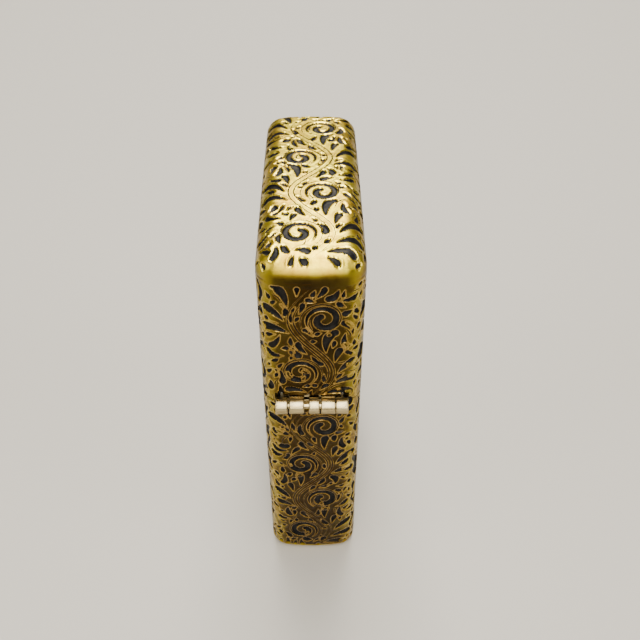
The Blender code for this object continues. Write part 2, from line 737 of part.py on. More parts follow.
def make_wick_and_packing():
    wire_object("wick", wick_route(), WICK_RADIUS, 2, cotton())
    for number, ((left, right), (low, high)) in enumerate(WADS, 1):
        made = box(
            f"packing_wad_{number}",
            (left * mm, -WAD_HALF_WIDTH, low * mm), (right * mm, WAD_HALF_WIDTH, high * mm), cotton(),
        )
        bevel = made.modifiers.new("bevel", "BEVEL")
        bevel.width = WAD_ROUNDING
        bevel.segments = 3
        made.data.shade_smooth()


def make_felt_pad():
    low, high = FELT_Z
    inset = UNIT_WALL + 0.1 * mm
    rings = [upright(unit_outline(inset), z, UNIT_CENTRE_X) for z in (low, high)]
    made = loft("felt_pad", rings, felt())
    boolean(made, rod_z("felt_screw_hole", SCREW_HEAD_RADIUS + 0.25 * mm, 0.0, 8 * mm, FLINT_X), "DIFFERENCE")
    boolean(made, rod_z("felt_lift_hole", 1.2 * mm, 0.0, 8 * mm, -8 * mm, steps=16), "DIFFERENCE")
    smooth(made)


def main():
    for old in list(bpy.data.objects):
        bpy.data.objects.remove(old)
    make_case_bottom()
    make_case_lid()
    make_hinge_leaf("hinge_leaf_bottom", BASE_KNUCKLES, -1)
    make_hinge_leaf("hinge_leaf_lid", LID_KNUCKLES, 1)
    make_hinge_pin()
    make_unit_shell()
    make_chimney()
    make_wheel_and_rivet()
    make_cam_and_rivet()
    make_cam_spring()
    make_flint_parts()
    make_wick_and_packing()
    make_felt_pad()


main()
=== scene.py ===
# A flip-top pocket lighter in carved antique brass: the finish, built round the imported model.
import math
import bpy
import bmesh
import numpy as np
from mathutils import Matrix, Vector


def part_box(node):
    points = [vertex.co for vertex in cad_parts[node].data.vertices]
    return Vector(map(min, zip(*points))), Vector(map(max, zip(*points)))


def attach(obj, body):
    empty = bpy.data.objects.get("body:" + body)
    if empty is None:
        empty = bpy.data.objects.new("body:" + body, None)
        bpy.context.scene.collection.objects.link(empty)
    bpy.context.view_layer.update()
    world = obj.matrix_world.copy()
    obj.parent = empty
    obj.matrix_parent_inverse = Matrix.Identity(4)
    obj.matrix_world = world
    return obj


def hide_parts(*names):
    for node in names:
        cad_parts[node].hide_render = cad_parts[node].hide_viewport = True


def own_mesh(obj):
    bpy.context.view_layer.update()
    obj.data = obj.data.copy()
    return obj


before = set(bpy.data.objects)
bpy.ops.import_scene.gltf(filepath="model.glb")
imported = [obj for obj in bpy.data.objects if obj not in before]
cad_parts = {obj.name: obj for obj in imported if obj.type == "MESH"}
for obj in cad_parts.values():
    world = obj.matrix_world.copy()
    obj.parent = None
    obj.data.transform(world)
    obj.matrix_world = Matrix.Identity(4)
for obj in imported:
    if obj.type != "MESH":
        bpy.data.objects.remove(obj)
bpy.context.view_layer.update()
mm = 0.001


def hexColour(code):
    # an sRGB hex value as the linear colour that shaders take
    values = [int(code[i:i + 2], 16) / 255 for i in (1, 3, 5)]
    return (*[v / 12.92 if v <= 0.04045 else ((v + 0.055) / 1.055) ** 2.4 for v in values], 1.0)


def addNode(tree, kind, inputs=None, **settings):
    # one node, with its settings, and its inputs as values or as the sockets they are linked to
    node = tree.nodes.new(kind)
    for name, value in settings.items():
        setattr(node, name, value)
    for key, value in (inputs or {}).items():
        if isinstance(value, bpy.types.NodeSocket):
            tree.links.new(value, node.inputs[key])
        else:
            node.inputs[key].default_value = value
    return node


# what the recipes below call a node: its kind, the sockets that its values go to, the output that is read,
# and its settings. Any other name is the operation of a Math node
nodeForms = {
    "ramp": ("ShaderNodeMapRange", ("Value", "From Min", "From Max", "To Min", "To Max"), "Result",
             {"interpolation_type": "SMOOTHSTEP"}),
    "spread": ("ShaderNodeMapRange", ("Value", "From Min", "From Max", "To Min", "To Max"), "Result", {}),
    "mix": ("ShaderNodeMix", ("Factor", 6, 7), 2, {"data_type": "RGBA"}),
    "noise": ("ShaderNodeTexNoise", ("Vector", "Scale", "Detail"), "Fac", {}),
    "stretch": ("ShaderNodeMapping", ("Vector", "Scale"), 0, {}),
    "bump": ("ShaderNodeBump", ("Strength", "Distance", "Height"), "Normal", {}),
    "point": ("ShaderNodeCombineXYZ", ("X", "Y", "Z"), 0, {}),
    "scale": ("ShaderNodeVectorMath", (0, "Scale"), 0, {"operation": "SCALE"}),
    "cross": ("ShaderNodeVectorMath", (0, 1), 0, {"operation": "CROSS_PRODUCT"}),
    "sum": ("ShaderNodeVectorMath", (0, 1), 0, {"operation": "ADD"}),
}


def addNodes(tree, found, recipe):
    # a recipe's nodes in turn, as (name, form, values). Outputs are found again by name, and a value that is
    # such a name becomes a link
    for name, form, *values in recipe:
        plainMath = ("ShaderNodeMath", (0, 1), 0, {"operation": form})
        kind, sockets, output, settings = nodeForms.get(form, plainMath)
        inputs = {}
        for socket, value in zip(sockets, values):
            if isinstance(value, str):
                value = hexColour(value) if value.startswith("#") else found[value]
            inputs[socket] = value
        found[name] = addNode(tree, kind, inputs, **settings).outputs[output]
    return found


def dress(tree, shader, found, **sockets):
    # links outputs of a recipe to the shader: its sockets are named in one word
    for socket, name in sockets.items():
        tree.links.new(found[name], shader.inputs[socket.replace("_", " ")])


def newMaterial(name):
    made = bpy.data.materials.new(name)
    made.use_nodes = True
    return made, made.node_tree, made.node_tree.nodes["Principled BSDF"]


def newPiece(name, vertices, faces, material, body, stands=(), smooth=35):
    mesh = bpy.data.meshes.new(name)
    mesh.from_pydata([tuple(v) for v in vertices], [], faces)
    return finishPiece(bpy.data.objects.new(name, mesh), material, body, stands, smooth)


def finishPiece(made, material, body, stands=(), smooth=35):
    # outward faces, soft shading up to an angle, its finish, its body and what it stands for
    if made.name not in bpy.context.scene.collection.objects:
        bpy.context.scene.collection.objects.link(made)
    bm = bmesh.new()
    bm.from_mesh(made.data)
    bmesh.ops.recalc_face_normals(bm, faces=bm.faces)
    bm.to_mesh(made.data)
    bm.free()
    made.data.shade_smooth()
    if smooth:
        made.data.set_sharp_from_angle(angle=math.radians(smooth))
    made.data.materials.clear()
    made.data.materials.append(material)
    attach(made, body)
    if stands:
        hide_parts(*stands)
    return made


# the ornament: scrolls and leaves on flat sheets, later wrapped round the case
ornament = {
    "cell": 0.05,          # mm between the samples of a sheet
    "line": 0.065,         # mm, half the width of an engraved line
    "gap": 0.12,           # mm that filling leaves keep to what is there
    "depth": 0.26,         # mm from the worn face to the floor of the hollows
    "wall": 0.11,          # mm that the side of a hollow takes to drop
    "dish": 0.035,         # mm that the middle of a leaf lies below its rim
    "rows": (5.6, 15.4, 25.2, 39.6, 49.0),       # mm, heights of the rows of scrolls
    "middles": (12.2, 22.4, 32.8),               # mm from the hinge to the scrolls on the broad sides
    "farEnd": 48.1,                              # mm from the hinge to those on the far end
    "seed": 11,
}

# how the half width runs along a stroke, as (share of its length, share of its width)
strokeShapes = {
    "scroll": ((0, 0.05), (0.2, 0.6), (0.45, 1.0), (0.74, 0.86), (0.9, 1.0), (1, 1.25)),
    "stem": ((0, 0.7), (0.4, 1.0), (0.8, 0.85), (0.92, 1.0), (1, 1.6)),
    "comma": ((0, 0.05), (0.3, 0.55), (0.72, 1.0), (1, 0.9)),
    "leaf": ((0, 0.6), (0.3, 1.0), (0.62, 0.82), (0.86, 0.4), (1, 0.04)),
    "line": ((0, 0.3), (0.3, 1.0), (0.7, 1.0), (1, 0.25)),
}


def smoothPath(points, perSpan):
    # a natural cubic spline through the points, by chord length
    p = np.array(points, float)
    h = np.hypot(*(p[1:] - p[:-1]).T)
    n = len(p)
    system, right = np.eye(n), np.zeros((n, 2))
    for i in range(1, n - 1):
        system[i, i - 1:i + 2] = h[i - 1], 2 * (h[i - 1] + h[i]), h[i]
        right[i] = 6 * ((p[i + 1] - p[i]) / h[i] - (p[i] - p[i - 1]) / h[i - 1])
    m = np.linalg.solve(system, right)
    out = []
    for i in range(n - 1):
        b = np.linspace(0, 1, perSpan, endpoint=False)[:, None]
        a = 1 - b
        out.append(a * p[i] + b * p[i + 1] + ((a ** 3 - a) * m[i] + (b ** 3 - b) * m[i + 1]) * h[i] ** 2 / 6)
    return np.concatenate([*out, p[-1:]])


def curlPath(start, heading, length, turns, steps=26):
    # a line that winds up as it goes: turns are its bends at the start, the middle and the end
    s = np.linspace(0, 1, steps)
    bend = np.interp(s, (0, 0.5, 1), turns) * 2 * math.pi
    angle = heading + np.concatenate([[0], np.cumsum((bend[1:] + bend[:-1]) / 2) / (steps - 1)])
    move = np.stack([np.cos(angle), np.sin(angle)], 1) * length / (steps - 1)
    return np.concatenate([[start], np.array(start) + np.cumsum((move[1:] + move[:-1]) / 2, axis=0)])


def widthsAlong(path, shape, width):
    gaps = np.hypot(*(path[1:] - path[:-1]).T)
    along = np.concatenate([[0], np.cumsum(gaps)])
    shares, widths = zip(*strokeShapes[shape])
    return np.interp(along / along[-1], shares, widths) * width


def smoothStep(x):
    x = np.clip(x, 0, 1)
    return x * x * (3 - 2 * x)


class Sheet:
    # a flat sheet of metal seen from outside: u to the right and v up, in mm
    def __init__(self, left, right, low, high, ground, wraps=False):
        self.left, self.low, self.wraps, self.cell = left, low, wraps, ornament["cell"]
        self.columns = round((right - left) / self.cell) + (0 if wraps else 1)
        self.rows = round((high - low) / self.cell) + 1
        shape = (self.rows, self.columns)
        self.edge = np.full(shape, ground, np.float32)      # how far inside the raised metal
        self.across = np.zeros(shape, np.float32)           # offset from the middle of the leaf
        self.tone = np.full(shape, 0.5, np.float32)         # one value for each leaf
        self.side = np.full(shape, 9, np.float32)           # signed offset from the nearest engraved line
        self.near = np.full(shape, 9, np.float32)           # the same without its sign

    def cells(self):
        # where each sample lies
        across = self.left + np.arange(self.columns) * self.cell
        return np.meshgrid(across, self.low + np.arange(self.rows) * self.cell)

    def inside(self, path, widths, margin=1.0):
        # the cells near a stroke, how far each lies inside it, its signed offset and its share of the length
        reach = margin + max(widths)
        c0, r0 = np.floor((path.min(0) - reach - (self.left, self.low)) / self.cell).astype(int)
        c1, r1 = np.ceil((path.max(0) + reach - (self.left, self.low)) / self.cell).astype(int)
        rows = np.arange(max(r0, 0), min(r1, self.rows - 1) + 1)
        columns = np.arange(c0, c1 + 1)
        if not self.wraps:
            columns = columns[(columns >= 0) & (columns < self.columns)]
        u = (self.left + columns * self.cell).astype(np.float32)[None, :]
        v = (self.low + rows * self.cell).astype(np.float32)[:, None]
        best = np.full((len(rows), len(columns)), -99, np.float32)
        side, share = np.zeros_like(best), np.zeros_like(best)
        spans = len(path) - 1
        for i in range(spans):
            du, dv = (path[i + 1] - path[i]).tolist()
            size = du * du + dv * dv + 1e-9
            t = np.clip(((u - path[i, 0]) * du + (v - path[i, 1]) * dv) / size, 0, 1)
            pu, pv = u - path[i, 0] - t * du, v - path[i, 1] - t * dv
            deep = widths[i] + (widths[i + 1] - widths[i]) * t - np.sqrt(pu * pu + pv * pv)
            nearer = deep > best
            best = np.where(nearer, deep, best)
            side = np.where(nearer, (du * pv - dv * pu) / math.sqrt(size), side)
            share = np.where(nearer, (i + t) / spans, share)
        return np.ix_(rows, columns % self.columns), best, side, share

    def lay(self, path, widths, tone):
        # a leaf laid on what is there. Where it lies over metal, its outline becomes an engraved line
        where, deep, side, share = self.inside(path, widths)
        old, inside = self.edge[where], deep > 0
        outline = (deep + ornament["line"]) / np.maximum(smoothStep((share - 0.1) / 0.3), 0.05)
        drawn = (old > 0) & (np.abs(outline) < np.where(inside, 9, self.near[where]))
        self.side[where] = np.where(drawn, outline, np.where(inside, 9, self.side[where]))
        self.near[where] = np.where(drawn, np.abs(outline), np.where(inside, 9, self.near[where]))
        self.edge[where] = np.maximum(deep, old)
        self.across[where] = np.where(inside, side, self.across[where])
        self.tone[where] = np.where(inside, tone, self.tone[where])

    def sink(self, path, widths):
        where, deep, _, _ = self.inside(path, widths, 2.5)
        self.edge[where] = np.minimum(self.edge[where], -deep)

    def engrave(self, path):
        where, deep, side, share = self.inside(path, [0.0] * len(path))
        shares, widths = zip(*strokeShapes["line"])
        thin = np.interp(share, shares, widths)
        nearer = -deep / thin < self.near[where]
        self.near[where] = np.where(nearer, -deep / thin, self.near[where])
        self.side[where] = np.where(nearer, side / thin, self.side[where])

    def at(self, u, v, name="edge"):
        grid = getattr(self, name)
        x = (np.asarray(u) - self.left) / self.cell
        y = np.clip((np.asarray(v) - self.low) / self.cell, 0, self.rows - 1.001)
        x = np.mod(x, self.columns) if self.wraps else np.clip(x, 0, self.columns - 1.001)
        c, r = np.floor(x).astype(int), np.floor(y).astype(int)
        fx, fy = x - c, y - r
        d = (c + 1) % self.columns
        c = c % self.columns
        low = grid[r, c] * (1 - fx) + grid[r, d] * fx
        high = grid[r + 1, c] * (1 - fx) + grid[r + 1, d] * fx
        return low * (1 - fy) + high * fy


# How the rest of the sides is filled, large to small: shape, tries, length and half width in mm, its three
# bends, and the least half width that is still laid
fillings = (
    ("leaf", 900, (4, 8), 0.95, (0.1, 0.25, 0.4), 0.45),
    ("scroll", 1500, (4, 7), 0.6, (0.1, 0.5, 1.6), 0.32),
    ("leaf", 3000, (2.4, 5), 0.75, (0.0, 0.25, 0.5), 0.3),
    ("comma", 5000, (1.6, 3.5), 0.55, (0.1, 0.3, 0.6), 0.22),
    ("leaf", 8000, (1.0, 2.6), 0.42, (0.0, 0.3, 0.5), 0.15),
)


# The hinge end and the top are cut instead of built up: a stem that winds from side to side, a scroll in each
# of its bends, leaves on its outer side, and small hollows and lines between. In mm, u across and v along
vine = {
    "lid": (35.4, 53.0, 2),      # from, to and how many bends
    "base": (1.2, 33.6, 4),
    "top": (-17.2, 17.2, 4),
    "topHalf": 18.4,       # the ornament's reach on the top, along it
    "topSide": 7.35,       # and to its sides
    "swing": 2.5,          # how far the stem goes to each side
    "band": 0.34,          # half the width of the stem, between its two lines
    "scroll": 2.9,         # outer radius of a scroll
    "groove": 0.46,        # half the width of a scroll's hollow
    "leaf": 0.62,          # half the width of the hollow between two leaves
    "bridge": 0.26,        # metal that is always left between two hollows
    "seed": 4,
}


def cutInto(sheet, path, widths):
    # a hollow, as wide as its neighbours leave room for, and ended where there is none
    room = np.minimum(sheet.at(*path.T) - vine["bridge"], sheet.at(*path.T, "near") - 0.14)
    blocked = np.nonzero(room < 0.05)[0]
    if len(blocked):
        path, widths, room = path[:blocked[0]], widths[:blocked[0]], room[:blocked[0]]
    if len(path) > 8 and np.minimum(widths, room).max() > 0.24:
        sheet.sink(path, np.minimum(widths, room))


def cutScroll(sheet, place, start, hand):
    # a hollow that winds in round a bud, a line along its outer side, and leaves that spring from its rim
    share = np.linspace(0, 1, 36)
    angle = start + hand * 2 * math.pi * 1.3 * share
    ray = np.stack([np.cos(angle), np.sin(angle)], 1) * (vine["scroll"] * (0.78 - 0.56 * share))[:, None]
    sheet.sink(np.array(place) + ray, widthsAlong(ray, "comma", vine["groove"]))
    sheet.engrave(np.array(place) + ray[:30] * 1.36)
    for k in range(6):
        turn = start + hand * (0.5 + 0.85 * k)
        foot = np.array(place) + np.array([math.cos(turn), math.sin(turn)]) * vine["scroll"] * 1.2
        leaf = curlPath(foot, turn + hand * 1.1, 2.3, [hand * b for b in (0.0, -0.15, -0.5)])
        cutInto(sheet, leaf, widthsAlong(leaf, "comma", 0.42))


def cutVine(sheet, rng, low, high, bends, wide):
    share = np.linspace(0, 1, 40 * bends)
    stem = np.stack([vine["swing"] * np.sin(math.pi * bends * share), low + (high - low) * share], 1)
    ahead = np.gradient(stem, axis=0)
    ahead /= np.hypot(*ahead.T)[:, None]
    for side in (-1, 1):
        sheet.engrave(stem + side * vine["band"] * np.stack([-ahead[:, 1], ahead[:, 0]], 1))
    step = (high - low) / bends
    for k in range(bends):
        hand = 1 if k % 2 == 0 else -1
        cutScroll(sheet, (-hand * 1.5, low + step * (k + 0.5)), -0.9 if hand > 0 else math.pi + 0.9, hand)
    for k in range(bends):
        # leaves on the outer side of the bend, curling away from the stem
        hand = 1 if k % 2 == 0 else -1
        for where in (0.12, 0.3, 0.48, 0.66, 0.84):
            i = round((k + where) * 40 * (len(stem) - 1) / len(stem))
            heading = math.atan2(ahead[i, 1], ahead[i, 0])
            foot = stem[i] + 0.8 * np.array([math.cos(heading - hand * 1.4), math.sin(heading - hand * 1.4)])
            leaf = curlPath(foot, heading - hand * 0.6, 3.6, [-hand * b for b in (0.0, 0.15, 0.6)])
            cutInto(sheet, leaf, widthsAlong(leaf, "comma", vine["leaf"]))
    cutBetween(sheet, rng, wide, low - 0.3, high + 0.2)


def cutBetween(sheet, rng, wide, low, high):
    # small hollows, then fine lines, wherever there is metal to spare
    for kind, tries in (("hollow", 3200), ("line", 1600)):
        for _ in range(tries):
            start = (rng.uniform(-wide, wide), rng.uniform(low, high))
            heading, length, hand = rng.uniform(0, 2 * math.pi), rng.uniform(1.2, 3.4), rng.choice((-1, 1))
            path = curlPath(start, heading, length, [hand * b for b in (0.05, 0.2, 0.5)])
            free, clear = sheet.at(*path.T), sheet.at(*path.T, "near")
            if kind == "hollow" and free[0] > vine["bridge"] + 0.2:
                cutInto(sheet, path, widthsAlong(path, "comma", 0.5))
            if kind == "line" and free.min() > 0.14 and clear.min() > 0.34:
                sheet.engrave(path)


def growScroll(sheet, rng, centre, radius, start, hand):
    # a stem that winds in to a bud, with leaves springing from its outer side
    t = np.linspace(0, 1, 44)
    angle = start + hand * 2 * math.pi * 1.35 * t
    spread = radius * (1 - 0.84 * t ** 0.9)
    path = np.array(centre) + np.stack([np.cos(angle), np.sin(angle)], 1) * spread[:, None]
    for k in (26, 21, 17, 13, 9, 5, 1):
        ahead = math.atan2(*(path[k + 1] - path[k])[::-1])
        size = 0.55 + 0.6 * (1 - t[k])
        reach, turns = rng.uniform(1.9, 2.6) * size, [hand * b for b in (0.05, 0.25, 0.5)]
        leaf = curlPath(path[k], ahead - hand * 0.9, reach, turns)
        sheet.lay(leaf, widthsAlong(leaf, "leaf", 0.62 * size), rng.uniform(0.25, 0.75))
    sheet.lay(path, widthsAlong(path, "stem", 0.42), rng.uniform(0.4, 0.7))


def fillBetween(sheet, rng, low, high, shape, tries, lengths, width, turns, least):
    # lays leaves in what is still empty, each as wide as its neighbours leave room for
    for _ in range(tries):
        start = (rng.uniform(sheet.left, -sheet.left), rng.uniform(low, high))
        heading, length, hand = rng.uniform(0, 2 * math.pi), rng.uniform(*lengths), rng.choice((-1, 1))
        if sheet.at(*start) > -least - ornament["gap"]:
            continue
        path = curlPath(start, heading, length, [hand * b for b in turns])
        toBorder = np.minimum(path[:, 1] - low, high - path[:, 1]) + 0.2
        room = np.minimum(-sheet.at(*path.T) - ornament["gap"], toBorder)
        blocked = np.nonzero(room < 0.06)[0]
        if len(blocked):
            path, room = path[:blocked[0]], room[:blocked[0]]
        if len(path) < 8:
            continue
        widths = np.minimum(widthsAlong(path, shape, width), room)
        if widths.max() > least:
            sheet.lay(path, widths, rng.uniform(0.2, 0.8))


def drawSides():
    sheet = Sheet(-outline["around"] / 2, outline["around"] / 2, 0, 57.2, -9, wraps=True)
    rng = np.random.default_rng(ornament["seed"])
    # the hinge end is one field of metal with a wavy border
    u, v = sheet.cells()
    border = 6.25 + 0.28 * np.sin(v * 1.9 + np.where(u > 0, 1.0, 0.0)) + 0.2 * np.sin(v * 0.83)
    margin = np.minimum(caseShape["plainTop"] - v, v - caseShape["plainBase"]) + vine["bridge"]
    sheet.edge[:] = np.minimum(border - np.abs(u), margin)
    sheet.tone[:] = 0.45
    cutting = np.random.default_rng(vine["seed"])
    for name in ("lid", "base"):
        cutVine(sheet, cutting, *vine[name], 5.9)
    # the broad sides and the far end: rows of scrolls that turn either way, then leaves between them
    hand = 1
    middles = ornament["middles"]
    faces = ((middles, 0.5, 3.9), ([-u for u in middles], 0.5, 3.9), ((ornament["farEnd"],), 0, 3.5))
    for row, v in enumerate(ornament["rows"]):
        for across, sway, radius in faces:
            for k, u in enumerate(across):
                shift = 1.6 if (row + k) % 2 else -0.6
                place = (u + rng.uniform(-0.5, 0.5), v + shift * sway + rng.uniform(-0.4, 0.4))
                hand = -hand
                growScroll(sheet, rng, place, radius + rng.uniform(-0.2, 0.3), rng.uniform(0, 6.28), hand)
    for filling in fillings:
        fillBetween(sheet, rng, 0.7, 54.0, *filling)
    return sheet


def drawTop():
    sheet = Sheet(-8.2, 8.2, -20.8, 20.8, 2.4)
    u, v = sheet.cells()
    toBorder = np.minimum(vine["topHalf"] - np.abs(v), vine["topSide"] - np.abs(u))
    sheet.edge[:] = np.minimum(2.4, toBorder + vine["bridge"])
    cutVine(sheet, np.random.default_rng(vine["seed"] + 1), *vine["top"], 7.2)
    return sheet


# the case: two shells with the ornament carved in their outer face
caseShape = {
    "corner": 2.8,        # mm, radius of the upright edges
    "end": 28.0,          # mm, radius of the bowed ends
    "topEdge": 2.6,       # mm, radius round the top
    "baseEdge": 1.4,      # mm, radius round the base
    "wall": 0.8,          # mm of sheet
    "crown": 0.5,         # mm that the top arches along its length
    "seamGap": 0.08,      # mm from the seam to each rim
    "endColumns": 96,     # faces across each end
    "sideColumns": 190,   # faces along each broad side
    "baseRows": 146,      # rows of points up the lower case
    "lidRows": 98,        # and up the lid
    "topBends": 16,       # faces round the edge of the top
    "notchHalf": 4.95,    # mm, half the length of the slot at the hinge
    "notchHeight": 1.35,  # mm above and below the seam
    "plainTop": 53.6,     # mm, where the plain band under the top begins
    "plainBase": 0.75,    # mm, where the plain band at the base ends
}
lowBox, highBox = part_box("case_bottom"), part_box("case_lid")
length, thickness = (highBox[1][i] / mm - highBox[0][i] / mm for i in (0, 1))
height = highBox[1][2] / mm
seam = (lowBox[1][2] + highBox[0][2]) / 2 / mm


def measureOutline(length, thickness, corner, end):
    # an outline seen from above, with bowed ends and round corners: its centres, angles and arc lengths
    cornerY = thickness / 2 - corner
    endX = length / 2 - end
    reach = math.sqrt((end - corner) ** 2 - cornerY ** 2)
    turn = math.atan2(cornerY, reach)
    endArc, cornerArc = end * turn, corner * (math.pi / 2 - turn)
    flat = endX + reach
    return {
        "cornerY": cornerY, "endX": endX, "cornerX": flat, "turn": turn, "endArc": endArc,
        "cornerArc": cornerArc, "quarter": endArc + cornerArc + flat,
        "around": 4 * (endArc + cornerArc + flat), "thickness": thickness, "corner": corner, "end": end,
    }


outline = measureOutline(length, thickness, caseShape["corner"], caseShape["end"])


def foldRound(s, o=outline):
    # distances round an outline from the hinge's middle, the shorter way: negative on one side
    return np.mod(s + o["around"] / 2, o["around"]) - o["around"] / 2


def outlineAt(s, inset=0.0, o=outline):
    # points (mm) and outward normals at the distances s round an outline from the hinge's middle, towards -Y
    folded = foldRound(np.asarray(s, float), o)
    sideways = -np.sign(folded)
    t = np.abs(folded)
    far = t > o["quarter"]
    t = np.where(far, 2 * o["quarter"] - t, t)
    onEnd, onCorner = t <= o["endArc"], t <= o["endArc"] + o["cornerArc"]
    angle = np.where(onEnd, t / o["end"], o["turn"] + (t - o["endArc"]) / o["corner"])
    angle = np.where(onCorner, angle, math.pi / 2)
    radius = np.where(onEnd, o["end"], o["corner"]) - inset
    x = np.where(onEnd, o["endX"], o["cornerX"]) + radius * np.cos(angle)
    y = np.where(onEnd, 0, o["cornerY"]) + radius * np.sin(angle)
    x = np.where(onCorner, x, o["quarter"] - t)
    y = np.where(onCorner, y, o["thickness"] / 2 - inset)
    flip = np.where(far, 1, -1)
    nx, ny = np.where(onCorner, np.cos(angle), 0), np.where(onCorner, np.sin(angle), 1)
    return x * flip, y * sideways, nx * flip, ny * sideways


def ringStations():
    # where the columns of a shell stand round the case: as many across both ends, and along both sides
    half = outline["around"] / 2
    turnAt = outline["endArc"] + outline["cornerArc"] / 2
    ends, sides = caseShape["endColumns"], caseShape["sideColumns"]
    return np.concatenate([
        np.linspace(-turnAt, turnAt, ends, endpoint=False),
        np.linspace(turnAt, half - turnAt, sides, endpoint=False),
        np.linspace(half - turnAt, half + turnAt, ends, endpoint=False),
        np.linspace(half + turnAt, 2 * half - turnAt, sides, endpoint=False),
    ])


def topHeight(x):
    return height - caseShape["crown"] * (2 * x / length) ** 2


def carveDepth(edge):
    # how far the surface lies below the worn face
    hollow = smoothStep(-edge / ornament["wall"]) * ornament["depth"]
    dish = smoothStep((edge - 0.16) / 0.2) * ornament["dish"]
    roll = (1 - smoothStep(edge / 0.1)) * 0.025
    return np.where(edge < 0, hollow + 0.025, dish + roll)


def snapToEdges(read, u, v, stepU, stepV, free):
    # moves the points that lie closest to the edge of a shape onto it, so that the edge is crisp
    h = 0.03
    for turn in range(2):
        edge = read(u, v)
        gu = (read(u + h, v) - read(u - h, v)) / (2 * h)
        gv = (read(u, v + h) - read(u, v - h)) / (2 * h)
        size = np.maximum(np.hypot(gu, gv), 1e-3)
        reachU = stepU / np.maximum(np.abs(gu) / size, 1e-3)
        reach = 0.48 * np.minimum(reachU, stepV / np.maximum(np.abs(gv) / size, 1e-3))
        if turn == 0:
            chosen = free & (np.abs(edge) < np.minimum(reach, 0.2))
        move = np.clip(edge / size, -reach, reach) * chosen
        u, v = u - move * gu / size, v - move * gv / size
    return u, v, chosen


# the fourth value is rubbed wear together with a painted highlight: full on the top, rising over its rounded
# edge, part way on the upright corners
shellValues = {"edge": 9.0, "across": 0.15, "tone": 0.5, "worn": 0.0, "side": 9.0, "near": 9.0}


def readSheet(sheet, u, v, edge):
    return {"edge": edge, **{name: sheet.at(u, v, name) for name in ("across", "tone", "side", "near")}}


class Shell:
    # collects the points and faces of one half of the case, with the ornament's values at each point
    def __init__(self):
        self.points, self.values, self.faces = [], [], []
        self.count = 0

    def add(self, points, **values):
        # points with what the finish reads there: what is left out is plain metal
        points = np.asarray(points, float)
        n = len(points)
        self.points.append(points)
        rows = [values.get(name, plain) for name, plain in shellValues.items()]
        self.values.append(np.stack([np.broadcast_to(np.asarray(a, float), (n,)) for a in rows], 1))
        self.count += n
        return np.arange(self.count - n, self.count)

    def ring(self, s, inset, z):
        x, y, _, _ = outlineAt(s, inset)
        return self.add(np.stack([x, y, np.broadcast_to(z, x.shape)], 1), worn=0.6)

    def bridge(self, lower, upper, keep=None):
        n = len(lower)
        for i in range(n):
            if keep is None or keep[i]:
                j = (i + 1) % n
                self.faces.append((lower[i], lower[j], upper[j], upper[i]))

    def piece(self, name, material, body, node):
        points = np.concatenate(self.points) * mm
        made = newPiece(name, points, self.faces, material, body, (node,), 80)
        values = np.concatenate(self.values)
        for i, label in enumerate(shellValues):
            layer = made.data.attributes.new(label, "FLOAT", "POINT")
            layer.data.foreach_set("value", values[:, i].astype(np.float32))
        return made


def cornerWearAndSheen(nx, ny):
    # how bright the upright edges are: partly rubbed wear, partly a painted highlight where they would
    # reflect the lit floor at the sides
    return np.clip((np.abs(nx * ny) * 2) ** 1.7, 0, 1) * 0.45


def besideSlot(a):
    return np.abs(foldRound(a)) < caseShape["notchHalf"] + 0.3


def carvedRows(shell, s, heightsAt, rows, sheet, edgeRule, hold):
    # rows of points up the outer wall, displaced by the ornament. heightsAt gives each row's heights, and
    # hold the places beside the slot where the grid stays as it is
    u = np.tile(s, (rows, 1))
    z = np.stack([heightsAt(r / (rows - 1), s) for r in range(rows)])
    gaps = np.diff(s, append=s[0] + outline["around"])
    stepU = np.tile(np.minimum(gaps, np.roll(gaps, 1)), (rows, 1))
    stepV = np.full_like(u, (z[-1, 0] - z[0, 0]) / (rows - 1))
    free = np.ones_like(u, bool)
    free[0], free[-1] = False, False
    free &= ~hold(u, z)
    read = lambda a, b: edgeRule(sheet.at(a, b), a, b)
    u, z, snapped = snapToEdges(read, u, z, stepU, stepV, free)
    edge = np.where(snapped, 0, read(u, z))
    x, y, nx, ny = outlineAt(u)
    depth = carveDepth(edge)
    points = np.stack([x - nx * depth, y - ny * depth, z], -1)
    found = {**readSheet(sheet, u, z, edge), "worn": cornerWearAndSheen(nx, ny)}
    found["near"] = np.where(z > caseShape["plainTop"], 9, found["near"])
    return [shell.add(points[r], **{name: value[r] for name, value in found.items()}) for r in range(rows)]


def notchColumns(s):
    # the columns whose faces the hinge's slot takes out
    within = np.abs(foldRound(s)) < caseShape["notchHalf"]
    return within & np.roll(within, -1)


def closeNotch(shell, cut, outer, inner):
    # the two ends of the slot: outer and inner are the rows of points there, from the slot's floor to the rim
    n = len(cut)
    first = next(i for i in range(n) if cut[i] and not cut[i - 1])
    last = next(i for i in range(n) if cut[i] and not cut[(i + 1) % n])
    for i in (first, (last + 1) % n):
        shell.faces.append(tuple([r[i] for r in outer] + [r[i] for r in reversed(inner)]))


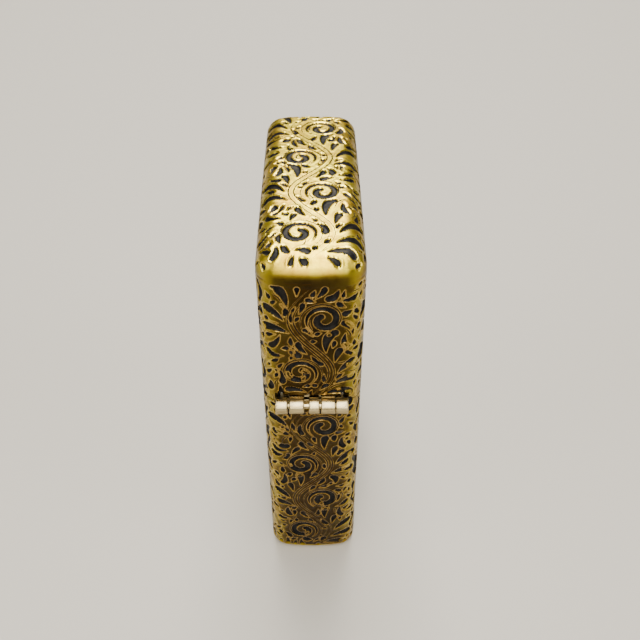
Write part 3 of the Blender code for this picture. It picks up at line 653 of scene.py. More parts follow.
def makeLowerCase(sheet, material):
    shell = Shell()
    s = ringStations()
    wall, base = caseShape["wall"], caseShape["baseEdge"]
    rim = seam - caseShape["seamGap"]
    rows = caseShape["baseRows"]
    notchRow = rows - 1 - round(caseShape["notchHeight"] / ((rim - base) / (rows - 1)))
    notchZ = base + (rim - base) * notchRow / (rows - 1)
    cut = notchColumns(s)
    edgeRule = lambda edge, a, b: np.maximum(edge, caseShape["plainBase"] - b)
    hold = lambda a, b: besideSlot(a) & (b > notchZ - 0.3)
    heights = lambda t, a: np.full_like(a, base + (rim - base) * t)
    outer = carvedRows(shell, s, heights, rows, sheet, edgeRule, hold)
    for r in range(rows - 1):
        shell.bridge(outer[r], outer[r + 1], None if r < notchRow else ~cut)
    # rounded edge and flat of the base
    below = outer[0]
    for i in range(1, 7):
        angle = math.pi / 2 * i / 6
        x, y, _, _ = outlineAt(s, base * (1 - math.cos(angle)))
        ring = shell.add(np.stack([x, y, np.full_like(s, base * (1 - math.sin(angle)))], 1), worn=0.8)
        shell.bridge(ring, below)
        below = ring
    shell.faces.append(tuple(below))
    # inner wall, with a row at the slot's floor
    inner = [shell.ring(s, wall, z) for z in (1.4, 10.0, 20.0, 30.0, notchZ, rim)]
    for k, (a, b) in enumerate(zip(inner, inner[1:])):
        shell.bridge(b, a, None if k < 4 else ~cut)
    floor = shell.ring(s, wall + 0.5, 0.8)
    shell.bridge(inner[0], floor)
    shell.faces.append(tuple(floor))
    shell.bridge(outer[-1], inner[-1], ~cut)
    shell.bridge(outer[notchRow], inner[-2], cut)
    closeNotch(shell, cut, outer[notchRow:], inner[-2:])
    return shell.piece("lower_case", material, "case", "case_bottom")


def makeLid(sides, top, material):
    shell = Shell()
    s = ringStations()
    wall, radius = caseShape["wall"], caseShape["topEdge"]
    rim = seam + caseShape["seamGap"]
    rows, bends = caseShape["lidRows"], caseShape["topBends"]
    x0, _, _, _ = outlineAt(s)
    wallTop = topHeight(x0) - radius
    notchRow = round(caseShape["notchHeight"] / ((wallTop[0] - rim) / (rows - 1)))
    cut = notchColumns(s)
    notchZ = rim + (wallTop - rim) * notchRow / (rows - 1)
    edgeRule = lambda edge, a, b: np.maximum(edge, b - caseShape["plainTop"])
    hold = lambda a, b: besideSlot(a) & (b < rim + caseShape["notchHeight"] + 0.3)
    heights = lambda t, a: rim + (wallTop - rim) * t
    outer = carvedRows(shell, s, heights, rows, sides, edgeRule, hold)
    for r in range(rows - 1):
        shell.bridge(outer[r], outer[r + 1], None if r >= notchRow else ~cut)
    # the rounded edge round the top, which carries the top's ornament over
    last = outer[-1]
    flatX, flatY, _, _ = outlineAt(s, radius)
    for i in range(1, bends + 1):
        angle = math.pi / 2 * i / bends
        inset, drop = radius * (1 - math.cos(angle)), radius * (1 - math.sin(angle))
        x, y, nx, ny = outlineAt(s, inset)
        reach = radius * (math.pi / 2 - angle)
        u, v = -(flatY + ny * reach), flatX + nx * reach
        edge = topEdge(top, u, v)
        depth = carveDepth(edge)
        z = topHeight(x) - drop - math.sin(angle) * depth
        points = np.stack([x - nx * math.cos(angle) * depth, y - ny * math.cos(angle) * depth, z], 1)
        # the rounded edge turns yellow towards the top: rubbed wear together with a painted highlight for the
        # band of light it reflects
        rubbedAndSheen = smoothStep((math.degrees(angle) - 8) / 40)
        worn = rubbedAndSheen + (1 - rubbedAndSheen) * cornerWearAndSheen(nx, ny)
        row = shell.add(points, **{**readSheet(top, u, v, edge), "across": 0.15}, worn=worn)
        shell.bridge(last, row)
        last = row
    addTopGrid(shell, last, top)
    # inside
    inner = [shell.ring(s, wall, z) for z in (rim, notchZ, 38.0, 43.0, 48.0, 52.0)]
    for k, (a, b) in enumerate(zip(inner, inner[1:])):
        shell.bridge(a, b, None if k else ~cut)
    above = inner[-1]
    for i in range(6):
        angle = math.pi / 2 * i / 5
        inset = wall + (radius - wall) * (1 - math.cos(angle))
        x, y, _, _ = outlineAt(s, inset)
        z = topHeight(x) - wall - (radius - wall) * (1 - math.sin(angle))
        row = shell.add(np.stack([x, y, z], 1), worn=0.6)
        shell.bridge(above, row)
        above = row
    closeCap(shell, above, wall, 4)
    shell.bridge(inner[0], outer[0], ~cut)
    shell.bridge(inner[1], outer[notchRow], cut)
    closeNotch(shell, cut, outer[:notchRow + 1][::-1], inner[:2][::-1])
    return shell.piece("lid", material, "lid", "case_lid")


def topEdge(sheet, u, v):
    # the top's ornament stops short of the walls
    return np.maximum(sheet.at(u, v), np.maximum(np.abs(v) - vine["topHalf"], np.abs(u) - vine["topSide"]))


def addTopGrid(shell, ring, sheet):
    # a grid over the flat of the top whose border is the ring of points round it
    ends, sides = caseShape["endColumns"], caseShape["sideColumns"]
    points = np.concatenate(shell.points)
    hinge = ring[:ends + 1]
    right = ring[ends:ends + sides + 1]
    far = ring[ends + sides:2 * ends + sides + 1][::-1]
    left = np.concatenate([ring[2 * ends + sides:], ring[:1]])[::-1]
    a, b = np.meshgrid(np.linspace(0, 1, ends + 1), np.linspace(0, 1, sides + 1))
    a, b = a[..., None], b[..., None]
    flat = points[:, :2]
    low, high, west, east = flat[hinge], flat[far], flat[left], flat[right]
    plan = (1 - b) * low[None] + b * high[None] + (1 - a) * west[:, None] + a * east[:, None]
    plan -= (1 - a) * (1 - b) * low[0] + a * (1 - b) * low[-1] + (1 - a) * b * high[0] + a * b * high[-1]
    u, v = -plan[..., 1], plan[..., 0]
    free = np.zeros(u.shape, bool)
    free[1:-1, 1:-1] = True
    read = lambda p, q: topEdge(sheet, p, q)
    stepU = np.full(u.shape, abs(u[0, 1] - u[0, 0]))
    stepV = np.full(u.shape, abs(v[1, 0] - v[0, 0]))
    u, v, snapped = snapToEdges(read, u, v, stepU, stepV, free)
    edge = np.where(snapped, 0, read(u, v))
    z = topHeight(v) - carveDepth(edge)
    found = {**readSheet(sheet, u, v, edge), "across": np.full_like(u, 0.15)}
    index = np.empty(u.shape, int)
    # the whole top gets the full value: rubbed wear together with a painted highlight for the glare on it
    inside = shell.add(
        np.stack([v[1:-1, 1:-1].ravel(), -u[1:-1, 1:-1].ravel(), z[1:-1, 1:-1].ravel()], 1),
        worn=1.0, **{name: value[1:-1, 1:-1].ravel() for name, value in found.items()},
    )
    index[1:-1, 1:-1] = inside.reshape(sides - 1, ends - 1)
    index[0], index[-1], index[:, 0], index[:, -1] = hinge, far, left, right
    for i in range(sides):
        for j in range(ends):
            shell.faces.append((index[i, j], index[i, j + 1], index[i + 1, j + 1], index[i + 1, j]))


def closeCap(shell, ring, wall, steps):
    # shrinks the ring under the top to a small one and closes it
    points = np.concatenate(shell.points)[ring]
    for i in range(1, steps):
        scale = 1 - i / steps
        xy = points[:, :2] * scale
        row = shell.add(np.stack([xy[:, 0], xy[:, 1], topHeight(xy[:, 0]) - wall], 1), worn=0.6)
        shell.bridge(ring, row)
        ring = row
    shell.faces.append(tuple(ring))


def carvedBrass():
    # cast brass, blackened and rubbed bright: black stays in the hollows and the engraved lines, brown in the
    # middle of the leaves, darkened as painted shade on the walls;
    # the top and the rounded edges are yellow metal, partly worn clean and partly painted highlight, and the
    # rims carry a painted highlight
    material, tree, shader = newMaterial("carved_antique_brass")
    found = {"place": addNode(tree, "ShaderNodeTexCoord").outputs["Object"]}
    for name in shellValues:
        found[name] = addNode(tree, "ShaderNodeAttribute", attribute_name=name).outputs["Fac"]
    addNodes(tree, found, (
        ("cloud", "noise", "place", 230.0, 4.0),
        ("fleck", "noise", "place", 900.0, 3.0),
        ("grain", "noise", "place", 3200.0, 2.0),
        # black patina in the hollows and the engraved lines, and beside them a bright rim that is a painted
        # highlight
        ("offset", "ABSOLUTE", "side"),
        ("onLine", "ramp", "near", 0.12, 0.2, 1.0, 0.0),
        ("groove", "ramp", "offset", 0.04, 0.085, 1.0, 0.0),
        ("line", "MULTIPLY", "groove", "onLine"),
        ("beside", "ramp", "offset", 0.07, 0.11),
        ("closeBy", "ramp", "near", 0.17, 0.26, 1.0, 0.0),
        ("besideLine", "MULTIPLY", "beside", "closeBy"),
        ("lineRim", "MULTIPLY", "besideLine", 0.7),
        ("hollow", "ramp", "edge", -0.05, -0.005, 1.0, 0.0),
        ("sunk", "MAXIMUM", "hollow", "line"),
        ("insideRim", "ramp", "edge", -0.02, 0.02),
        ("outsideRim", "ramp", "edge", 0.06, 0.17, 1.0, 0.0),
        ("hollowRim", "MULTIPLY", "insideRim", "outsideRim"),
        ("rim", "MAXIMUM", "hollowRim", "lineRim"),
        # tool marks: fine cuts along each leaf, a quarter of a millimetre apart
        ("phase", "PINGPONG", "across", 0.13),
        ("cuts", "ramp", "phase", 0.0, 0.04, 1.0, 0.0),
        ("inLeaf", "ramp", "edge", 0.24, 0.36),
        ("leafCuts", "MULTIPLY", "cuts", "inLeaf"),
        ("patchy", "ramp", "fleck", 0.42, 0.6),
        ("hatch", "MULTIPLY", "leafCuts", "patchy"),
        # brown patina in the middle of the leaves, darkened as painted shade on the walls, where it shows
        ("byTone", "ramp", "tone", 0.25, 0.75),
        ("leafBrown", "mix", "byTone", "#281f0c", "#423317"),
        ("stained", "ramp", "cloud", 0.4, 0.68),
        ("middle", "mix", "stained", "leafBrown", "#1a1308"),
        # yellow where the case is rubbed, and as a painted highlight on the top, its rounded edge and the
        # upright corners
        ("handled", "ramp", "cloud", 0.3, 0.7),
        ("yellow", "mix", "handled", "#d8c230", "#c8a028"),
        ("spots", "ramp", "fleck", 0.45, 0.75, 0.0, 0.45),
        ("rubbedAndSheen", "mix", "spots", "yellow", "#8f6a1e"),
        # the walls take the dark brown and the top and edges the yellow: wear and painted highlight together
        ("face", "mix", "worn", "middle", "rubbedAndSheen"),
        # the rims' colour is a painted highlight: pale yellow on the top and its edges, dull brass on the
        # walls
        ("fine", "ramp", "fleck", 0.3, 0.7),
        ("bright", "mix", "fine", "#eed858", "#d8b43c"),
        ("dull", "mix", "fine", "#a07f42", "#7c602d"),
        ("rimHighlight", "mix", "worn", "dull", "bright"),
        ("rimmed", "mix", "rim", "face", "rimHighlight"),
        ("hatchShare", "MULTIPLY", "hatch", 0.6),
        ("hatched", "mix", "hatchShare", "rimmed", "#3a270b"),
        ("sooty", "ramp", "fleck", 0.4, 0.7),
        ("black", "mix", "sooty", "#08080a", "#201d19"),
        ("colour", "mix", "sunk", "hatched", "black"),
        # gloss, metal and the finest relief
        ("rimGloss", "ramp", "rim", 0.0, 1.0, 0.34, 0.25),
        ("grainGloss", "ramp", "grain", 0.3, 0.7, -0.03, 0.06),
        ("faceGloss", "ADD", "rimGloss", "grainGloss"),
        ("hollowGloss", "ramp", "hollow", 0.0, 1.0, 0.0, 0.14),
        ("gloss", "ADD", "faceGloss", "hollowGloss"),
        ("metallic", "ramp", "hollow", 0.0, 1.0, 1.0, 0.8),
        ("pores", "MULTIPLY", "grain", 0.1),
        ("hatchDepth", "MULTIPLY", "hatch", 0.3),
        ("cutDepth", "MAXIMUM", "line", "hatchDepth"),
        ("relief", "SUBTRACT", "pores", "cutDepth"),
        ("bump", "bump", 0.7, 0.00006, "relief"),
    ))
    dress(tree, shader, found, Base_Color="colour", Roughness="gloss", Metallic="metallic", Normal="bump")
    return material


def lathe(profile, centre, axis="Z", steps=64, closed=False):
    # points and faces of a shape turned about an axis, from (radius, place along the axis) pairs in mm
    x, y, z = centre
    points, faces = [], []
    for radius, along in profile:
        for k in range(steps):
            a, b = radius * math.cos(2 * math.pi * k / steps), radius * math.sin(2 * math.pi * k / steps)
            points.append((x + a, y + b, z + along) if axis == "Z" else (x + a, y + along, z + b))
    rings = len(profile)
    for i in range(rings if closed else rings - 1):
        j = (i + 1) % rings
        for k in range(steps):
            m = (k + 1) % steps
            faces.append((i * steps + k, i * steps + m, j * steps + m, j * steps + k))
    if not closed:
        faces += [tuple(range(steps)), tuple(range((rings - 1) * steps, rings * steps))]
    return points, faces


def prism(sections):
    # a closed solid through sections of equally many points
    count = len(sections[0])
    points = [point for section in sections for point in section]
    faces = [tuple(range(count)), tuple(range(len(points) - count, len(points)))]
    for i in range(len(sections) - 1):
        for k in range(count):
            m = (k + 1) % count
            faces.append((i * count + k, i * count + m, (i + 1) * count + m, (i + 1) * count + k))
    return points, faces


def solid(name, shape):
    # a closed mesh object, in metres, with its faces pointing out
    mesh = bpy.data.meshes.new(name)
    mesh.from_pydata([tuple(v * mm for v in point) for point in shape[0]], [], shape[1])
    bm = bmesh.new()
    bm.from_mesh(mesh)
    bmesh.ops.recalc_face_normals(bm, faces=bm.faces)
    bm.to_mesh(mesh)
    bm.free()
    made = bpy.data.objects.new(name, mesh)
    bpy.context.scene.collection.objects.link(made)
    return made


def brick(low, high):
    corners = [(low[0], low[1]), (high[0], low[1]), (high[0], high[1]), (low[0], high[1])]
    return block(corners, low[2], high[2])


def plate(line, low, high):
    # a flat plate standing along X and Z, between two places on Y
    return prism([[(x, y, z) for x, z in line] for y in (low, high)])


def block(plan, low, high):
    # an outline seen from above, between two heights
    return prism([[(x, y, z) for x, y in plan] for z in (low, high)])


def arcPoints(x, z, radius, angles):
    return [(x + radius * math.cos(a), z + radius * math.sin(a)) for a in angles]


def drill(radius, centre, axis, low, high, steps):
    # a round hole, for combine
    return "DIFFERENCE", lathe([(radius, low), (radius, high)], centre, axis, steps)


def applyModifiers(made):
    # what the modifiers make becomes the mesh, and they are removed
    bpy.context.view_layer.update()
    seen = made.evaluated_get(bpy.context.evaluated_depsgraph_get())
    mesh = bpy.data.meshes.new_from_object(seen)
    made.modifiers.clear()
    made.data = mesh
    return made


def combine(made, others):
    # joins and cuts a solid with others, given as (operation, shape) pairs
    for number, (operation, shape) in enumerate(others):
        other = solid(f"{made.name}_tool_{number}", shape)
        modifier = made.modifiers.new("cut", "BOOLEAN")
        modifier.operation, modifier.solver, modifier.object = operation, "EXACT", other
        applyModifiers(made)
        bpy.data.objects.remove(other)
    return made


def bevelled(made, width, segments=2, angle=35):
    modifier = made.modifiers.new("edges", "BEVEL")
    modifier.width, modifier.segments = width * mm, segments
    modifier.limit_method, modifier.angle_limit = "ANGLE", math.radians(angle)
    modifier.use_clamp_overlap = True
    return applyModifiers(made)


def remeshed(made, grain):
    # an even mesh, fine enough for its surface to be roughened
    modifier = made.modifiers.new("even", "REMESH")
    modifier.mode, modifier.voxel_size = "VOXEL", grain * mm
    return applyModifiers(made)


def newTree(name, sizes):
    # a Geometry Nodes tree with named inputs, given as {name: (kind of socket, value)}
    tree = bpy.data.node_groups.new(name, "GeometryNodeTree")
    tree.interface.new_socket("Geometry", in_out="INPUT", socket_type="NodeSocketGeometry")
    tree.interface.new_socket("Geometry", in_out="OUTPUT", socket_type="NodeSocketGeometry")
    for label, (kind, value) in sizes.items():
        tree.interface.new_socket(label, in_out="INPUT", socket_type=kind).default_value = value
    return tree, dict(addNode(tree, "NodeGroupInput").outputs.items())


def closeTree(tree, geometry, material):
    real = addNode(tree, "GeometryNodeRealizeInstances", {0: geometry})
    coated = addNode(tree, "GeometryNodeSetMaterial", {"Geometry": real.outputs[0], "Material": material})
    addNode(tree, "NodeGroupOutput", {0: coated.outputs[0]})


def sweepTree(tree, curve, radius, sides, material):
    # ends a tree by making its curves round, as wire or thread
    section = addNode(tree, "GeometryNodeCurvePrimitiveCircle", {"Resolution": sides, "Radius": radius})
    swept = addNode(tree, "GeometryNodeCurveToMesh", {
        "Curve": curve, "Profile Curve": section.outputs[0], "Fill Caps": True,
    })
    closeTree(tree, swept.outputs[0], material)


def grow(made, tree, sizes):
    # puts a tree on an object, gives its inputs by identifier, and keeps what it makes as a plain mesh
    modifier = made.modifiers.new("grow", "NODES")
    modifier.node_group = tree
    for item in tree.interface.items_tree:
        if item.in_out == "INPUT" and item.name in sizes:
            modifier[item.identifier] = sizes[item.name][1]
    return applyModifiers(made)


def metal(name, light, dark, roughness, scale, stretch, depth):
    # bare metal whose colour, gloss and relief follow the marks of its making
    material, tree, shader = newMaterial(name)
    shader.inputs["Metallic"].default_value = 1.0
    found = addNodes(tree, {"place": addNode(tree, "ShaderNodeTexCoord").outputs["Object"]}, (
        ("along", "stretch", "place", stretch),
        ("streaks", "noise", "along", scale, 4.0),
        ("marks", "spread", "streaks", 0.3, 0.7),
        ("clouds", "noise", "place", 140.0, 3.0),
        ("smudge", "spread", "clouds", 0.4, 0.75),
        ("smudgeShare", "MULTIPLY", "smudge", 0.2),
        ("marked", "mix", "marks", dark, light),
        ("colour", "mix", "smudgeShare", "marked", dark),
        ("gloss", "spread", "marks", 0.0, 1.0, roughness - 0.05, roughness + 0.08),
        ("bump", "bump", 0.5, depth * mm, "marks"),
    ))
    dress(tree, shader, found, Base_Color="colour", Roughness="gloss", Normal="bump")
    return material


def fibre(name, light, dark, scale, depth, charred=None):
    # matted fibres: soft, without gloss, lighter at the tips and darker between them
    material, tree, shader = newMaterial(name)
    shader.inputs["Roughness"].default_value = 0.95
    shader.inputs["Sheen Weight"].default_value = 0.4
    shader.inputs["Specular IOR Level"].default_value = 0.15
    found = addNodes(tree, {"place": addNode(tree, "ShaderNodeTexCoord").outputs["Object"]}, (
        ("along", "stretch", "place", (1.0, 1.0, 0.35)),
        ("strands", "noise", "along", scale, 6.0),
        ("hairs", "spread", "strands", 0.3, 0.7),
        ("tufts", "noise", "place", scale * 0.16, 3.0),
        ("lumps", "spread", "tufts", 0.3, 0.7),
        ("share", "MULTIPLY", "hairs", "lumps"),
        ("colour", "mix", "share", dark, light),
        ("bump", "bump", 0.9, depth * mm, "hairs"),
    ))
    if charred:
        # the tip of a wick that has burnt, from this height up
        found["z"] = addNode(tree, "ShaderNodeSeparateXYZ", {0: found["place"]}).outputs["Z"]
        addNodes(tree, found, (
            ("burnt", "spread", "z", charred * mm, (charred + 1.4) * mm),
            ("colour", "mix", "burnt", "colour", "#1c1814"),
        ))
    dress(tree, shader, found, Base_Color="colour", Normal="bump")
    return material


def makeFinishes():
    return {
        # nickel-plated brass strip, rolled: a warm white metal with fine marks along the pin
        "nickel": metal("nickel_plated_brass", "#bfae84", "#94825a", 0.26, 2500.0, (1, 0.12, 1), 0.003),
        # stainless sheet, brushed upwards in a press: cool grey with soft vertical streaks
        "steel": metal("brushed_stainless", "#c9c8c4", "#94938f", 0.28, 3000.0, (1, 1, 0.05), 0.004),
        # hardened and oiled tool steel: nearly black, with a coarse grain from the file cut
        "tool": metal("hardened_tool_steel", "#6d6a66", "#3a3836", 0.38, 1800.0, (1, 1, 1), 0.006),
        # blued spring steel
        "spring": metal("blued_spring_steel", "#7d7f85", "#4b4d54", 0.3, 1500.0, (1, 0.2, 1), 0.003),
        # turned brass: bright yellow with rings left by the tool
        "brass": metal("turned_brass", "#d9b35a", "#a07c30", 0.27, 2600.0, (0.15, 0.15, 1), 0.004),
        # pressed ferrocerium: a dark, slightly purple grey, sintered and rough
        "flint": metal("ferrocerium", "#4a464b", "#29272b", 0.55, 1400.0, (1, 1, 1), 0.01),
        # carded cotton wool, packed by hand
        "cotton": fibre("carded_cotton", "#f1ece0", "#b9b1a0", 1500.0, 0.05),
        # braided cotton wick, burnt at its tip
        "wick": fibre("braided_cotton", "#e6dfce", "#9c917b", 2200.0, 0.04, 46.4),
        # pressed wool felt
        "felt": fibre("pressed_felt", "#9d9890", "#5f5a54", 1900.0, 0.05),
    }


# hinge: two leaves whose knuckles are rolled round one pin
hinge = {
    "x": -length / 2 - 0.45, "radius": 1.1, "bore": 0.5, "pin": 0.42, "pinHalf": 4.65,
    "lower": ((3.14, 4.71), (-0.98, 0.39), (-4.70, -3.08)),   # mm along Y
    "upper": ((1.03, 2.94), (-3.04, -1.18)),
    "leaf": 0.4, "leafHalf": 3.85, "leafHeight": 8.0, "edgeToPin": 0.25, "rounding": 0.14,
}


def makeHingeLeaf(name, node, knuckles, side, body, finish):
    h = hinge
    centre = -(length / 2 - caseShape["end"])
    outer = caseShape["end"] - caseShape["wall"] - 0.05
    across = np.linspace(-h["leafHalf"], h["leafHalf"], 25)
    plan = [(centre - math.sqrt(outer ** 2 - y * y), y) for y in across]
    plan += [(centre - math.sqrt((outer - h["leaf"]) ** 2 - y * y), y) for y in across[::-1]]
    low, high = sorted((seam + side * h["edgeToPin"], seam + side * (h["edgeToPin"] + h["leafHeight"])))
    made = solid(name, block(plan, low, high))
    webFar = seam + side * (h["radius"] - 0.05)
    tools = []
    for a, b in knuckles:
        webLow, webHigh = max(a, -h["leafHalf"] + 0.02), min(b, h["leafHalf"] - 0.02)
        near, far = sorted((seam + side * h["edgeToPin"], webFar))
        web = brick((h["x"] + 0.62, webLow, near + 0.02), (h["x"] + 1.62, webHigh, far - 0.02))
        tools.append(("UNION", web))
        r, e = h["radius"], h["rounding"]
        arc = [(r - e + e * math.sin(t), a + e - e * math.cos(t)) for t in np.linspace(0, math.pi / 2, 5)]
        profile = arc + [(x, a + b - y) for x, y in arc[::-1]]
        tools.append(("UNION", lathe(profile, (h["x"], 0, seam), "Y", 64)))
    tools.append(drill(h["bore"], (h["x"], 0, seam), "Y", -6, 6, 40))
    # the slit where the strip's edge meets the plate after it is rolled
    slit = math.radians(35) * side
    turn = np.array([math.cos(slit), math.sin(slit)])
    start, stop = turn * 0.4, turn * 1.4
    wide = np.array([-turn[1], turn[0]]) * 0.035
    corners = [(h["x"] + x, seam + z) for x, z in (start - wide, stop - wide, stop + wide, start + wide)]
    combine(made, tools + [("DIFFERENCE", plate(corners, -6, 6))])
    bevelled(made, 0.05, 1, 50)
    return finishPiece(made, finish, body, (node,))


def makeHinge(finishes):
    nickel = finishes["nickel"]
    makeHingeLeaf("lower_hinge_leaf", "hinge_leaf_bottom", hinge["lower"], -1, "case", nickel)
    makeHingeLeaf("upper_hinge_leaf", "hinge_leaf_lid", hinge["upper"], 1, "lid", nickel)
    r, end, e = hinge["pin"], hinge["pinHalf"], 0.16
    arc = [(r - e + e * math.sin(t), e - end - e * math.cos(t)) for t in np.linspace(0, math.pi / 2, 5)]
    pin = solid("pin", lathe(arc + [(x, -y) for x, y in arc[::-1]], (hinge["x"], 0, seam), "Y", 32))
    finishPiece(pin, nickel, "case", ("hinge_pin",))


# unit: the drawn steel shell that slides into the lower case, and the cam and its spring
unit = {
    "centre": 0.225, "length": 35.65, "thickness": 11.0, "wall": 0.5, "corner": 2.0, "end": 27.0,
    "low": 1.4, "deck": 38.0, "deckEdge": 1.2, "wickHole": 1.6, "tubeHole": 1.98,
    "slotHalf": 1.35, "slotLow": 32.8, "earInner": 1.45, "earThick": 0.45, "earHalf": 1.9,
}
cam = {
    "x": -11.2, "z": 39.6, "half": 1.15, "head": 2.4, "heel": 5.2, "heelArc": (250, 312), "tip": (-5.4, -4.9),
    "tipRadius": 0.7, "bore": 0.83, "rivet": 0.75, "rivetHead": 1.25,
    "springThick": 0.34, "springHalf": 1.8, "springRivetZ": 22.5, "springRivet": 0.9,
    "springLine": (
        (-16.72, 20.0), (-16.72, 24.5), (-16.70, 28.6), (-15.9, 30.9), (-14.2, 32.6),
        (-12.5, 33.8), (-10.9, 34.14), (-9.4, 33.95), (-8.5, 33.4),
    ),
}


def makeUnitShell(finish):
    u = unit
    plan = measureOutline(u["length"], u["thickness"], u["corner"], u["end"])
    s = np.linspace(0, plan["around"], 240, endpoint=False)

    def ring(inset, z):
        x, y, _, _ = outlineAt(s, inset, plan)
        return [(a + u["centre"], b, z) for a, b in zip(x, y)]

    def dome(radius, inset, top):
        arc = [math.pi / 2 * i / 7 for i in range(8)]
        rings = [ring(inset + radius * (1 - math.cos(a)), top - radius * (1 - math.sin(a))) for a in arc]
        last = rings[-1]
        for k in (0.6, 0.2):
            rings.append([(u["centre"] + (x - u["centre"]) * k, y * k, top) for x, y, _ in last])
        return rings

    outer = dome(u["deckEdge"], 0, u["deck"])
    inner = dome(u["deckEdge"] - u["wall"], u["wall"], u["deck"] - u["wall"])
    levels = [u["low"], 12.0, 24.0, 33.0]
    rings = outer[::-1] + [ring(0, z) for z in levels[::-1]] + [ring(u["wall"], z) for z in levels] + inner
    made = solid("unit_case", prism(rings))
    slot = brick((-19, -u["slotHalf"], u["slotLow"]), (cam["x"] + 4.3, u["slotHalf"], u["deck"] + 1))
    tools = [("DIFFERENCE", slot)]
    for x, radius in ((0, u["wickHole"]), (flint["x"], u["tubeHole"])):
        tools.append(drill(radius, (x, 0, u["deck"]), "Z", -2, 1, 48))
    turn = np.linspace(0, math.pi, 25)
    ear = [(cam["x"] - u["earHalf"], u["deck"] - 0.3), (cam["x"] + u["earHalf"], u["deck"] - 0.3)]
    ear += arcPoints(cam["x"], cam["z"], u["earHalf"], turn)
    for side in (-1, 1):
        tools.append(("UNION", plate(ear, side * u["earInner"], side * (u["earInner"] + u["earThick"]))))
    tools.append(drill(cam["bore"], (cam["x"], 0, cam["z"]), "Y", -4, 4, 40))
    bevelled(combine(made, tools), 0.09, 2, 45)
    finishPiece(made, finish, "case", ("unit_shell",))


def makeRivet(name, node, body, finish, x, z, radius, head, inner, outer):
    # a shank with a low domed head outside each ear
    low = inner + 0.12
    turn = np.linspace(0.08, math.pi / 2, 8)
    dome = [(head * math.sin(a), low + (outer - low) * math.cos(a)) for a in turn]
    half = dome + [(head, inner), (radius, inner)]
    profile = [(r, -y) for r, y in half] + [(r, y) for r, y in half[::-1]]
    finishPiece(solid(name, lathe(profile, (x, 0, z), "Y", 48)), finish, body, (node,))


def makeCam(finishes):
    c = cam
    heel = [math.radians(a) for a in np.linspace(*c["heelArc"], 15)]
    head = [math.radians(a) for a in np.linspace(-20, 160, 25)]
    away = math.atan2(c["tip"][1], c["tip"][0])
    tip = np.linspace(away - math.pi / 2, away + math.pi / 2, 13)
    line = arcPoints(0, 0, c["heel"], heel) + arcPoints(0, 0, c["head"], head)
    line = [(c["x"] + a, c["z"] + b) for a, b in line + arcPoints(*c["tip"], c["tipRadius"], tip)]
    made = solid("cam_lever", plate(line, -c["half"], c["half"]))
    combine(made, [drill(c["bore"], (c["x"], 0, c["z"]), "Y", -4, 4, 40)])
    finishPiece(bevelled(made, 0.14, 3, 45), finishes["steel"], "cam", ("cam",))
    outer = unit["earInner"] + unit["earThick"]
    makeRivet("cam_pivot_rivet", "cam_rivet", "case", finishes["steel"], c["x"], c["z"],
              c["rivet"], c["rivetHead"], outer + 0.05, outer + 0.45)
    # the leaf spring that the heel of the cam runs on
    path = smoothPath(c["springLine"], 6)
    along = np.gradient(path, axis=0)
    along /= np.hypot(*along.T)[:, None]
    side = np.stack([-along[:, 1], along[:, 0]], 1) * c["springThick"] / 2
    section = [tuple(q) for q in path + side] + [tuple(q) for q in (path - side)[::-1]]
    strip = bevelled(solid("cam_leaf_spring", plate(section, -c["springHalf"], c["springHalf"])), 0.05, 2, 50)
    finishPiece(strip, finishes["spring"], "case", ("cam_spring",))
    x = c["springLine"][0][0] + c["springThick"] / 2 + 0.03
    r = c["springRivet"]
    dome = [(r, 0.0), (r, 0.12)]
    dome += [(r * math.cos(a), 0.12 + 0.28 * math.sin(a)) for a in np.linspace(0.1, 1.35, 7)]
    points, faces = lathe(dome, (0, 0, 0), "Z", 40)
    rivet = solid("spring_rivet", ([(x + q[2], q[0], c["springRivetZ"] + q[1]) for q in points], faces))
    finishPiece(rivet, finishes["brass"], "case", ("cam_spring_rivet",))


# chimney: a perforated strip round the wick, whose ears carry the striker wheel
chimney = {
    "half": 4.6, "wall": 0.5, "left": -7.6, "tallRight": 6.2, "right": 13.6, "low": 38.05, "top": 54.2,
    "earTop": 47.0, "sweep": 4.2, "earCorner": 2.6, "ventRadius": 1.05, "ventStep": 3.8,
    "ventRows": ((3, -4.5, 50.6), (2, -2.6, 46.9), (3, -4.5, 43.2)),   # how many, first X, Z
}
wheel = {
    "x": 9.9, "z": 44.7, "radius": 3.4, "tooth": 0.3, "teeth": 30, "half": 2.3, "hub": 2.0, "hubHalf": 3.95,
    "bore": 0.93, "rivet": 0.85, "rivetHead": 1.45, "slant": 12.0,
}


def ventTree(finish):
    sizes = {
        "Vent Radius": ("NodeSocketFloat", chimney["ventRadius"] * mm),
        "Step": ("NodeSocketFloat", chimney["ventStep"] * mm),
    }
    tree, given = newTree("vents", sizes)
    step = addNode(tree, "ShaderNodeCombineXYZ", {"X": given["Step"]}).outputs[0]
    joined = addNode(tree, "GeometryNodeJoinGeometry")
    for count, x, z in chimney["ventRows"]:
        row = addNode(tree, "GeometryNodeMeshLine", {
            "Count": count, "Start Location": (x * mm, 0, z * mm), "Offset": step,
        })
        tree.links.new(row.outputs[0], joined.inputs[0])
    punch = addNode(tree, "GeometryNodeMeshCylinder", {
        "Vertices": 36, "Radius": given["Vent Radius"], "Depth": 14 * mm,
    })
    placed = addNode(tree, "GeometryNodeInstanceOnPoints", {
        "Points": joined.outputs[0], "Instance": punch.outputs["Mesh"], "Rotation": (math.pi / 2, 0, 0),
    })
    real = addNode(tree, "GeometryNodeRealizeInstances", {0: placed.outputs[0]})
    cut = addNode(tree, "GeometryNodeMeshBoolean", {
        "Mesh 1": given["Geometry"], "Mesh 2": real.outputs[0],
    }, operation="DIFFERENCE", solver="EXACT")
    closeTree(tree, cut.outputs["Mesh"], finish)
    return tree, sizes


